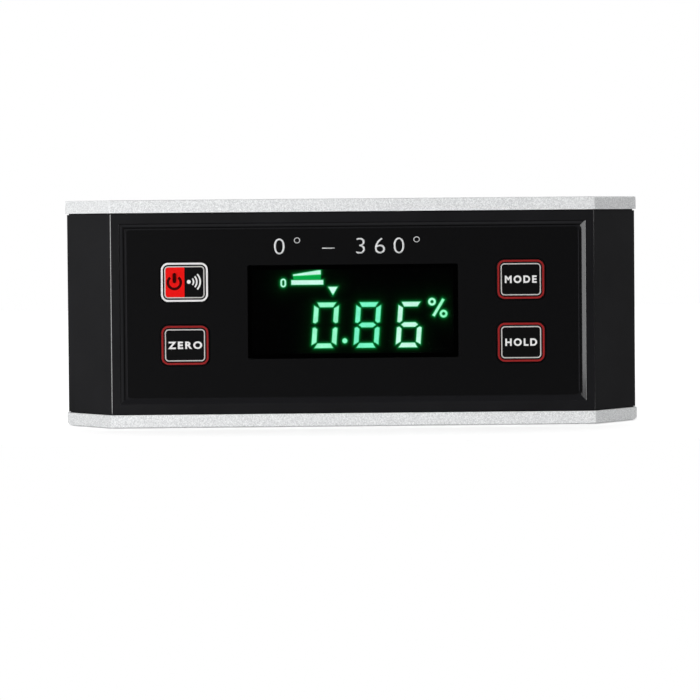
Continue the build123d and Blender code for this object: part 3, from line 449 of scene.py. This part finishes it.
def printed_bar(name, middle, size, face_y):
    """A printed upright bar, its four edges that run into the face rounded by 0.4 of its width."""
    rounding, same_place = 0.4 * size[0], 1e-7
    bpy.ops.object.select_all(action="DESELECT")
    bpy.ops.mesh.primitive_cube_add(size=1.0)
    bar = bpy.context.object
    bar.name = name
    bar.data.transform(Matrix.Diagonal((size[0], ink_thickness, size[1], 1)))
    bpy.ops.object.mode_set(mode="EDIT")
    bpy.ops.mesh.select_all(action="DESELECT")
    bpy.ops.object.mode_set(mode="OBJECT")
    for edge in bar.data.edges:
        a, b = (bar.data.vertices[i].co for i in edge.vertices)
        edge.select = abs(a.x - b.x) < same_place and abs(a.z - b.z) < same_place
    bpy.ops.object.mode_set(mode="EDIT")
    bpy.ops.mesh.bevel(offset=rounding, segments=3)
    bpy.ops.object.mode_set(mode="OBJECT")
    bar.data.transform(Matrix.Translation((middle[0], face_y - ink_thickness / 2, middle[1])))
    return bar


power_low, power_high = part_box("power_key")
power_middle = Vector(((power_low.x + power_high.x) / 2, (power_low.z + power_high.z) / 2))
field_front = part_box("power_key_field")[0].y

# Power sign: an open ring with a bar in its gap.
power_sign_place = power_middle + Vector((-2.65, -0.05)) * MM
ring_radius, ring_stroke, ring_start, ring_end = 1.7 * MM, 0.7 * MM, 130, 410
bar_lift, bar_size = Vector((0, 1.2)) * MM, (0.85 * MM, 2.6 * MM)
power_arc = printed_arc("power_arc", power_sign_place, ring_radius, ring_stroke, ring_start, ring_end,
                        field_front)
power_bar = printed_bar("power_bar", power_sign_place + bar_lift, bar_size, field_front)
power_sign = joined("power_sign", [power_arc, power_bar])
power_sign.data.materials.append(sign_ink)

# Sound sign: a dot and three arcs that open to the right.
sound_place = power_middle + Vector((1.15, 0.1)) * MM
dot_radius, arc_stroke, arc_half_angle = 0.52 * MM, 0.42 * MM, 42
arc_radii = (1.25 * MM, 2.1 * MM, 3.0 * MM)
sound_dot = printed_arc("sound_dot", sound_place, dot_radius / 2, dot_radius, 0, 360, power_low.y)
sound_arcs = [
    printed_arc(f"sound_arc_{step}", sound_place, radius, arc_stroke, -arc_half_angle, arc_half_angle,
                power_low.y)
    for step, radius in enumerate(arc_radii)
]
sound_sign = joined("sound_sign", [sound_dot] + sound_arcs)
sound_sign.data.materials.append(white_ink)
for sign, slot_name in ((power_sign, "print_field_red"), (sound_sign, "print_white")):
    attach(sign, "power_key_body")


# Display: a black module behind a smoked acrylic lens. Its green figures shine through a
# thin diffuser sheet, which carries a faint painted glow round each one.
module_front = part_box("display_module")[0].y
gasket_low, gasket_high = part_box("display_gasket")
diffuser_stand = 0.03 * MM
figure_stand = 0.1 * MM
gasket_rim = 1.6 * MM
bar_edge = 0.22 * MM
signs_from_z = 35 * MM
hue_start, hue_length = -20, 46

# Lit figures: each bar is almost white in its core and greener along its edge, and the
# figure in the middle is a deeper green than the other two.
lit_green, tree, place = new_finish("green_light_emitter")
across = add_node(tree, "ShaderNodeSeparateXYZ", sockets={0: place})
along = add_node(tree, "ShaderNodeMapRange", sockets={
    "Value": across.outputs["X"], "From Min": hue_start * MM, "From Max": (hue_start + hue_length) * MM,
    "To Min": 0.0, "To Max": 1.0})
hue = add_node(tree, "ShaderNodeValToRGB", sockets={"Fac": along.outputs[0]})
hue.color_ramp.elements[0].position, hue.color_ramp.elements[0].color = 0.0, linear("#8affc0")
hue.color_ramp.elements[1].position, hue.color_ramp.elements[1].color = 1.0, linear("#86ffc4")
for figure_x, colour in ((-10.6, "#a0fdd4"), (-3.0, "#98fdd0"), (0.2, "#7efbd0"), (8.2, "#7cfbce"),
                         (11.4, "#d0ffee"), (19.4, "#ccffec")):
    hue.color_ramp.elements.new((figure_x - hue_start) / hue_length).color = linear(colour)
is_sign = add_node(tree, "ShaderNodeMath", {"operation": "GREATER_THAN"}, {
    0: across.outputs["Z"], 1: signs_from_z})
figure_hue = add_node(tree, "ShaderNodeMix", {"data_type": "RGBA"}, {
    "Factor": is_sign.outputs[0], 6: hue.outputs[0], 7: linear("#d4fff2")})
flicker_spacing = 2.5 * MM
flicker = add_node(tree, "ShaderNodeTexNoise", sockets={
    "Vector": place, "Scale": 1 / flicker_spacing, "Detail": 1.0})
evenness = add_node(tree, "ShaderNodeMapRange", sockets={
    "Value": flicker.outputs["Fac"], "From Min": 0.3, "From Max": 0.7, "To Min": 1.04, "To Max": 1.18})
core_here = add_node(tree, "ShaderNodeAttribute", {"attribute_name": "bar_core"})
edge_hue = add_node(tree, "ShaderNodeMix", {"data_type": "RGBA", "blend_type": "MULTIPLY"}, {
    "Factor": 1.0, 6: figure_hue.outputs[2], 7: linear("#86ecbc")})
bar_hue = add_node(tree, "ShaderNodeMix", {"data_type": "RGBA"}, {
    "Factor": core_here.outputs["Fac"], 6: edge_hue.outputs[2], 7: figure_hue.outputs[2]})
emitter = add_node(tree, "ShaderNodeBsdfPrincipled", sockets={
    "Base Color": linear("#0c1a12"), "Roughness": 0.5, "Emission Color": bar_hue.outputs[2],
    "Emission Strength": evenness.outputs[0]})
add_node(tree, "ShaderNodeOutputMaterial", sockets={"Surface": emitter.outputs[0]})

# The figures themselves: the CAD mesh with its doubles merged, and the front of each bar inset
# so that the core can be told from the edge.
lit_figures = bpy.data.objects.new("lit_figures", cad["lit_segments"].data.copy())
bpy.context.scene.collection.objects.link(lit_figures)
bpy.ops.object.select_all(action="DESELECT")
lit_figures.select_set(True)
bpy.context.view_layer.objects.active = lit_figures
bpy.ops.object.mode_set(mode="EDIT")
bpy.ops.mesh.select_all(action="SELECT")
bpy.ops.mesh.remove_doubles(threshold=0.001 * MM)
bpy.ops.mesh.select_all(action="DESELECT")
bpy.ops.object.mode_set(mode="OBJECT")
for face in lit_figures.data.polygons:
    face.select = face.normal.y < looks_front
bpy.ops.object.mode_set(mode="EDIT")
bpy.ops.mesh.inset(thickness=bar_edge, depth=0)
bpy.ops.object.mode_set(mode="OBJECT")
bar_core = lit_figures.data.attributes.new("bar_core", "FLOAT", "POINT")
core_faces = [face for face in lit_figures.data.polygons if face.select]
for face in core_faces:
    for corner in face.vertices:
        bar_core.data[corner].value = 1.0
lit_figures.data.transform(Matrix.Translation((0, -figure_stand, 0)))
lit_figures.data.materials.clear()
lit_figures.data.materials.append(lit_green)
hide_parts("lit_segments")
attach(lit_figures, "housing")

# Diffuser: a black grid of fine steps that carries the painted glow as a value at each point.
grid_pitch = 0.25 * MM
view_length = gasket_high.x - gasket_low.x - 2 * gasket_rim
view_height = gasket_high.z - gasket_low.z - 2 * gasket_rim
view_middle_z = (gasket_low.z + gasket_high.z) / 2
bpy.ops.object.select_all(action="DESELECT")
bpy.ops.mesh.primitive_grid_add(
    x_subdivisions=int(view_length / grid_pitch), y_subdivisions=int(view_height / grid_pitch), size=1.0)
diffuser = bpy.context.object
diffuser.name = "display_diffuser"
diffuser.data.transform(Matrix.Diagonal((view_length, view_height, 1, 1)))
diffuser.data.transform(Matrix.Rotation(math.pi / 2, 4, "X"))
diffuser.data.transform(Matrix.Translation((0, module_front - diffuser_stand, view_middle_z)))

# The painted glow falls off fast close to a bar and slowly further out. Between the bar and the
# wedge of the slope sign the painted glow fills the gap.
close_glow, close_reach = 0.27, 0.19 * MM
wide_glow, wide_reach = 0.012, 1.6 * MM
sign_gap_low, sign_gap_high = Vector((-15.6, 38.6)) * MM, Vector((-8.4, 39.9)) * MM
sign_gap_glow = 0.5
figure_points = [v.co.copy() for v in lit_figures.data.vertices]
figure_faces = [tuple(face.vertices) for face in lit_figures.data.polygons]
figure_tree = BVHTree.FromPolygons(figure_points, figure_faces)
painted_glow_values = diffuser.data.attributes.new("painted_figure_glow", "FLOAT", "POINT")
for v in diffuser.data.vertices:
    distance = figure_tree.find_nearest(v.co)[3] - (figure_stand - diffuser_stand)
    away = max(distance, 0)
    glow = close_glow * math.exp(-away / close_reach) + wide_glow * math.exp(-away / wide_reach)
    between = sign_gap_low.x < v.co.x < sign_gap_high.x and sign_gap_low.y < v.co.z < sign_gap_high.y
    painted_glow_values.data[v.index].value = glow + sign_gap_glow * between

# Diffuser film: dead black where nothing shines through, with specks of 0.3 mm, and a green
# glow painted as emission wherever the glow value says.
speck_spacing = 0.3 * MM
diffuser_film, tree, place = new_finish("black_film_painted_glow")
glow_here = add_node(tree, "ShaderNodeAttribute", {"attribute_name": "painted_figure_glow"})
speck = add_node(tree, "ShaderNodeTexNoise", sockets={"Vector": place, "Scale": 1 / speck_spacing})
dark_film = add_node(tree, "ShaderNodeValToRGB", sockets={"Fac": speck.outputs["Fac"]})
dark_film.color_ramp.elements[0].color = linear("#000000")
dark_film.color_ramp.elements[1].color = linear("#030403")
diffuser_body = add_node(tree, "ShaderNodeBsdfPrincipled", sockets={
    "Base Color": dark_film.outputs[0], "Roughness": 0.7, "Specular IOR Level": 0.0,
    "Emission Color": linear("#10e868"), "Emission Strength": glow_here.outputs["Fac"]})
add_node(tree, "ShaderNodeOutputMaterial", sockets={"Surface": diffuser_body.outputs[0]})
diffuser.data.materials.append(diffuser_film)
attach(diffuser, "housing")

# Smoked acrylic: dark, flat and clear, so that it mirrors only what stands before it.
wave_spacing = 9 * MM
acrylic, tree, place = new_finish("smoked_acrylic")
waves = add_node(tree, "ShaderNodeTexNoise", sockets={
    "Vector": place, "Scale": 1 / wave_spacing, "Detail": 1.0})
waviness = add_node(tree, "ShaderNodeBump", sockets={
    "Height": waves.outputs["Fac"], "Distance": 0.004 * MM, "Strength": 0.5})
smoke = add_node(tree, "ShaderNodeValToRGB", sockets={"Fac": waves.outputs["Fac"]})
smoke.color_ramp.elements[0].color = linear("#eef2ef")
smoke.color_ramp.elements[1].color = linear("#f4f7f4")
lens = add_node(tree, "ShaderNodeBsdfPrincipled", sockets={
    "Base Color": smoke.outputs[0], "Roughness": 0.02, "IOR": 1.49, "Transmission Weight": 1.0,
    "Specular IOR Level": 0.05, "Normal": waviness.outputs[0]})
add_node(tree, "ShaderNodeOutputMaterial", sockets={"Surface": lens.outputs[0]})
dress(acrylic, "display_window")

# Module case: black and dull. Gasket: open-celled foam with pores of 0.35 mm and no shine.
dress(mottled("black_display_case", "#0a0a0b", "#0e0e0f", 0.5 * MM, 0.004 * MM, 0.5, shine=0.2),
      "display_module")
dress(mottled("black_foam", "#0a0a0a", "#141414", 0.35 * MM, 0.05 * MM, 0.95, shine=0.1),
      "display_gasket")


# Switches: four tact switches soldered to the board, each with a moulded body and a round
# button that the key pushes in.

# Nylon: black with a faint sheen. Acetal: pale grey, smooth and a little waxy.
dress(mottled("black_nylon", "#141416", "#1b1b1d", 0.4 * MM, 0.006 * MM, 0.5),
      "power_switch", "zero_switch", "mode_switch", "hold_switch")
dress(mottled("grey_acetal", "#8e9092", "#9a9c9e", 0.6 * MM, 0.004 * MM, 0.35),
      "power_switch_button", "zero_switch_button", "mode_switch_button", "hold_switch_button")


# Door mark: a small raised arrow, moulded with the door in the same black plastic, that
# shows which way its spring tongue is pushed to open it.
mark_height = 0.3 * MM
mark_edge = 0.12 * MM
arrow_radius = 2.2 * MM
arrow_inset = 12.5 * MM
door_low, door_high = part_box("battery_door")
arrow_place = Vector((
    door_high.x - arrow_inset, door_high.y + mark_height / 2, (door_low.z + door_high.z) / 2))
bpy.ops.object.select_all(action="DESELECT")
bpy.ops.mesh.primitive_cylinder_add(vertices=3, radius=arrow_radius, depth=mark_height)
door_arrow = bpy.context.object
door_arrow.name = "door_arrow"
bpy.ops.object.modifier_add(type="BEVEL")
door_arrow.modifiers["Bevel"].width = mark_edge
door_arrow.modifiers["Bevel"].segments = 2
bpy.ops.object.modifier_apply(modifier="Bevel")
door_arrow.data.transform(Matrix.Rotation(math.pi / 2, 4, "X"))
door_arrow.data.transform(Matrix.Rotation(-math.pi / 2, 4, "Y"))
door_arrow.data.transform(Matrix.Translation(arrow_place))

# Polished ABS: where the tool was left smooth, the same black takes a shine, and its colour is
# painted a shade paler as a painted sheen.
polished_abs_painted_sheen = mottled("black_abs_polished_painted_sheen", "#19191b", "#202022", 0.5 * MM, 0.004 * MM, 0.3)
door_arrow.data.materials.append(polished_abs_painted_sheen)
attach(door_arrow, "battery_door_body")


# Main board: glass-fibre laminate under green solder mask, with its parts soldered on. The
# controller has gull-wing leads of tinned copper on its four sides.

# Solder mask: deep green and glossy, over copper tracks that show a shade lighter and raised.
solder_mask, tree, place = new_finish("green_solder_mask")
track_pitch = 2.54 * MM
spot = add_node(tree, "ShaderNodeSeparateXYZ", sockets={0: place})
on_board = add_node(tree, "ShaderNodeCombineXYZ", sockets={0: spot.outputs["X"], 1: spot.outputs["Z"]})
tracks = add_node(tree, "ShaderNodeTexBrick", {"offset": 0.37}, {
    "Vector": on_board.outputs[0], "Color1": linear("#0d4426"), "Color2": linear("#114e2d"),
    "Mortar": linear("#2b7544"), "Scale": 1 / track_pitch, "Mortar Size": 0.09, "Mortar Smooth": 0.1,
    "Brick Width": 3.0, "Row Height": 0.5})
raised = add_node(tree, "ShaderNodeBump", sockets={
    "Height": tracks.outputs["Fac"], "Distance": 0.035 * MM, "Strength": 0.5})
mask_body = add_node(tree, "ShaderNodeBsdfPrincipled", sockets={
    "Base Color": tracks.outputs["Color"], "Roughness": 0.3, "Normal": raised.outputs[0]})
add_node(tree, "ShaderNodeOutputMaterial", sockets={"Surface": mask_body.outputs[0]})
dress(solder_mask, "main_board")

# Parts on the board: chips in dull black epoxy, a buzzer in smoother black plastic, a coil in
# rough grey ferrite, and a crystal in a bright tinned can.
dress(mottled("black_epoxy", "#151517", "#1d1d1f", 0.3 * MM, 0.006 * MM, 0.6),
      "controller_chip", "tilt_sensor")
dress(mottled("black_buzzer_case", "#111113", "#19191b", 0.8 * MM, 0.01 * MM, 0.4), "buzzer")
dress(mottled("grey_ferrite", "#2b2b2d", "#38383a", 0.25 * MM, 0.02 * MM, 0.7), "boost_coil")
tinned = mottled("tinned_steel_can", "#b9babb", "#c9cacb", 1.2 * MM, 0.002 * MM, 0.25, metallic=1.0)
dress(tinned, "crystal_can")

# Capacitor can: a dark blue sleeve, open on the bare aluminium of the can's end.
capacitor_can, tree, place = new_finish("sleeved_capacitor_can")
capacitor_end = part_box("filter_capacitors")[1].y
sleeve_edge = 0.4 * MM
sleeve_mottle_spacing = 1.5 * MM
spot = add_node(tree, "ShaderNodeSeparateXYZ", sockets={0: place})
bare = add_node(tree, "ShaderNodeMath", {"operation": "GREATER_THAN"}, {
    0: spot.outputs["Y"], 1: capacitor_end - sleeve_edge})
film_mottle = add_node(tree, "ShaderNodeTexNoise", sockets={
    "Vector": place, "Scale": 1 / sleeve_mottle_spacing, "Detail": 2.0})
sleeve_blue = add_node(tree, "ShaderNodeValToRGB", sockets={"Fac": film_mottle.outputs["Fac"]})
sleeve_blue.color_ramp.elements[0].color = linear("#141c30")
sleeve_blue.color_ramp.elements[1].color = linear("#1b2540")
can_colour = add_node(tree, "ShaderNodeMix", {"data_type": "RGBA"}, {
    "Factor": bare.outputs[0], 6: sleeve_blue.outputs[0], 7: linear("#c4c5c6")})
can_body = add_node(tree, "ShaderNodeBsdfPrincipled", sockets={
    "Base Color": can_colour.outputs[2], "Metallic": bare.outputs[0], "Roughness": 0.35})
add_node(tree, "ShaderNodeOutputMaterial", sockets={"Surface": can_body.outputs[0]})
dress(capacitor_can, "filter_capacitors")

# Leads: one is bent from a strip, repeated along a side, and turned to the other three.
chip_low, chip_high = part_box("controller_chip")
lead_width, lead_thickness, lead_pitch, leads_a_side = 0.35 * MM, 0.14 * MM, 0.9 * MM, 8
lead_steps = ((0.35, 0.0), (0.3, -0.7), (0.5, 0.0))
lead_rise = 0.85 * MM
strip_start = 0.2
chip_middle = Vector(((chip_low.x + chip_high.x) / 2, 0, (chip_low.z + chip_high.z) / 2))
chip_sides = []
for quarter in range(4):
    bpy.ops.object.select_all(action="DESELECT")
    bpy.ops.mesh.primitive_plane_add(size=lead_width)
    leads = bpy.context.object
    bpy.ops.object.mode_set(mode="EDIT")
    bpy.ops.mesh.select_all(action="SELECT")
    bpy.ops.transform.resize(value=(strip_start, 1, 1), center_override=(0, 0, 0))
    bpy.ops.mesh.select_all(action="DESELECT")
    bpy.ops.object.mode_set(mode="OBJECT")
    for edge in leads.data.edges:
        edge.select = all(leads.data.vertices[i].co.x > 0 for i in edge.vertices)
    bpy.ops.object.mode_set(mode="EDIT")
    bpy.ops.mesh.select_mode(type="EDGE")
    for out, up in lead_steps:
        bpy.ops.mesh.extrude_edges_move(TRANSFORM_OT_translate={"value": (out * MM, 0, up * MM)})
    bpy.ops.mesh.select_mode(type="VERT")
    bpy.ops.object.mode_set(mode="OBJECT")
    leads.data.transform(Matrix.Translation((0, -(leads_a_side - 1) * lead_pitch / 2, 0)))
    bpy.ops.object.modifier_add(type="SOLIDIFY")
    leads.modifiers["Solidify"].thickness = lead_thickness
    bpy.ops.object.modifier_apply(modifier="Solidify")
    bpy.ops.object.modifier_add(type="ARRAY")
    leads.modifiers["Array"].count = leads_a_side
    leads.modifiers["Array"].use_relative_offset = False
    leads.modifiers["Array"].use_constant_offset = True
    leads.modifiers["Array"].constant_offset_displace = (0, lead_pitch, 0)
    bpy.ops.object.modifier_apply(modifier="Array")
    leads.data.transform(Matrix.Translation(((chip_high.x - chip_low.x) / 2, 0, 0)))
    leads.data.transform(Matrix.Rotation(quarter * math.pi / 2, 4, "Z"))
    leads.data.transform(Matrix.Rotation(-math.pi / 2, 4, "X"))
    leads.data.transform(Matrix.Translation(chip_middle + Vector((0, chip_low.y + lead_rise, 0))))
    chip_sides.append(leads)
chip_leads = joined("chip_leads", chip_sides)
chip_leads.data.materials.clear()
chip_leads.data.materials.append(tinned)
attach(chip_leads, "housing")


# Power: two cells, with coil springs, contacts stamped from strip, and two leads soldered to
# the board.

# Cell sleeve: shiny shrink film, slate blue with a lighter band round the positive end.
sleeve, tree, place = new_finish("printed_shrink_sleeve")
cell_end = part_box("upper_cell")[1].x
case_middle_z = (case_low.z + case_high.z) / 2
band_length = 12 * MM
cap_length = 1.3 * MM
wrinkle_spacing = 5 * MM
spot = add_node(tree, "ShaderNodeSeparateXYZ", sockets={0: place})
is_upper = add_node(tree, "ShaderNodeMath", {"operation": "GREATER_THAN"}, {
    0: spot.outputs["Z"], 1: case_middle_z})
side = add_node(tree, "ShaderNodeMapRange", sockets={
    "Value": is_upper.outputs[0], "From Min": 0.0, "From Max": 1.0, "To Min": -1.0, "To Max": 1.0})
towards_nub = add_node(tree, "ShaderNodeMath", {"operation": "MULTIPLY"}, {
    0: spot.outputs["X"], 1: side.outputs[0]})
in_band = add_node(tree, "ShaderNodeMath", {"operation": "GREATER_THAN"}, {
    0: towards_nub.outputs[0], 1: cell_end - band_length})
at_cap = add_node(tree, "ShaderNodeMath", {"operation": "GREATER_THAN"}, {
    0: towards_nub.outputs[0], 1: cell_end - cap_length})
mottle = add_node(tree, "ShaderNodeTexNoise", sockets={
    "Vector": place, "Scale": 1 / wrinkle_spacing, "Detail": 3.0})
slate = add_node(tree, "ShaderNodeValToRGB", sockets={"Fac": mottle.outputs["Fac"]})
slate.color_ramp.elements[0].color = linear("#273d5a")
slate.color_ramp.elements[1].color = linear("#304a6b")
banded = add_node(tree, "ShaderNodeMix", {"data_type": "RGBA"}, {
    "Factor": in_band.outputs[0], 6: slate.outputs[0], 7: linear("#c9ccd0")})
capped = add_node(tree, "ShaderNodeMix", {"data_type": "RGBA"}, {
    "Factor": at_cap.outputs[0], 6: banded.outputs[2], 7: linear("#c2c2c0")})
shrink = add_node(tree, "ShaderNodeBump", sockets={
    "Height": mottle.outputs["Fac"], "Distance": 0.03 * MM, "Strength": 0.3})
sleeve_body = add_node(tree, "ShaderNodeBsdfPrincipled", sockets={
    "Base Color": capped.outputs[2], "Metallic": at_cap.outputs[0], "Roughness": 0.28,
    "Normal": shrink.outputs[0]})
add_node(tree, "ShaderNodeOutputMaterial", sockets={"Surface": sleeve_body.outputs[0]})
dress(sleeve, "upper_cell", "lower_cell")

# Nickel plate: bright and a little yellow. PVC: even colour with the soft shine of a cable.
nickel = mottled("nickel_plated_steel", "#b3b0a8", "#c6c3bb", 0.8 * MM, 0.002 * MM, 0.28, metallic=1.0)
dress(nickel, "upper_cell_spring", "lower_cell_spring", "bridge_contact", "positive_contact",
      "negative_contact", "left_magnet", "right_magnet")
dress(mottled("red_pvc", "#a01818", "#b02020", 1.5 * MM, 0.004 * MM, 0.4), "positive_lead")
dress(mottled("black_pvc", "#121212", "#1a1a1a", 1.5 * MM, 0.004 * MM, 0.4), "negative_lead")


# Screws: steel, zinc plated in the rails and on the board, blackened in the rear cover. Their
# rolled thread hides in plastic and metal, so it is drawn as a bump on the shank alone.
def threaded(name, dark, light, along, middle, reach, pitch):
    """Plated steel with a thread round every screw that lies along an axis, within reach of middle."""
    finish, tree, place = new_finish(name)
    plating_spacing = 0.6 * MM
    plating = add_node(tree, "ShaderNodeTexNoise", sockets={
        "Vector": place, "Scale": 1 / plating_spacing, "Detail": 3.0})
    shade = add_node(tree, "ShaderNodeValToRGB", sockets={"Fac": plating.outputs["Fac"]})
    shade.color_ramp.elements[0].position, shade.color_ramp.elements[0].color = 0.3, linear(dark)
    shade.color_ramp.elements[1].position, shade.color_ramp.elements[1].color = 0.7, linear(light)
    spot = add_node(tree, "ShaderNodeSeparateXYZ", sockets={0: place})
    turns = add_node(tree, "ShaderNodeMath", {"operation": "PINGPONG"}, {
        0: spot.outputs[along], 1: pitch / 2})
    on_shank = add_node(tree, "ShaderNodeMath", {"operation": "COMPARE"}, {
        0: spot.outputs[along], 1: middle, 2: reach})
    thread = add_node(tree, "ShaderNodeMath", {"operation": "MULTIPLY"}, {
        0: turns.outputs[0], 1: on_shank.outputs[0]})
    rolled = add_node(tree, "ShaderNodeBump", sockets={
        "Height": thread.outputs[0], "Distance": 1.0, "Strength": 1.0})
    steel = add_node(tree, "ShaderNodeBsdfPrincipled", sockets={
        "Base Color": shade.outputs[0], "Metallic": 1.0, "Roughness": 0.42, "Normal": rolled.outputs[0]})
    add_node(tree, "ShaderNodeOutputMaterial", sockets={"Surface": steel.outputs[0]})
    return finish


rail_thread_reach = (case_high.z - case_low.z) / 2
cover_screw_low, cover_screw_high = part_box("cover_screws")
board_screw_low, board_screw_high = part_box("board_screws")
cover_head, board_head = 2.2 * MM, 1.5 * MM
case_thread_pitch, board_thread_pitch = 0.45 * MM, 0.4 * MM
cover_thread_end, board_thread_end = cover_screw_high.y - cover_head, board_screw_high.y - board_head
cover_thread_middle = (cover_screw_low.y + cover_thread_end) / 2
cover_thread_reach = (cover_thread_end - cover_screw_low.y) / 2
board_thread_middle = (board_screw_low.y + board_thread_end) / 2
board_thread_reach = (board_thread_end - board_screw_low.y) / 2

# Zinc plate: a soft even grey. Blackened steel: dark, with a dull gleam on the heads.
rail_screw_steel = threaded("zinc_plated_screw", "#a9abad", "#bfc1c3", "Z",
                            case_middle_z, rail_thread_reach, case_thread_pitch)
board_screw_steel = threaded("zinc_plated_board_screw", "#a9abad", "#bfc1c3", "Y",
                             board_thread_middle, board_thread_reach, board_thread_pitch)
cover_screw_steel = threaded("blackened_screw", "#1d1d1f", "#29292b", "Y",
                             cover_thread_middle, cover_thread_reach, case_thread_pitch)
dress(rail_screw_steel, "top_rail_screws", "bottom_rail_screws")
dress(board_screw_steel, "board_screws")
dress(cover_screw_steel, "cover_screws")
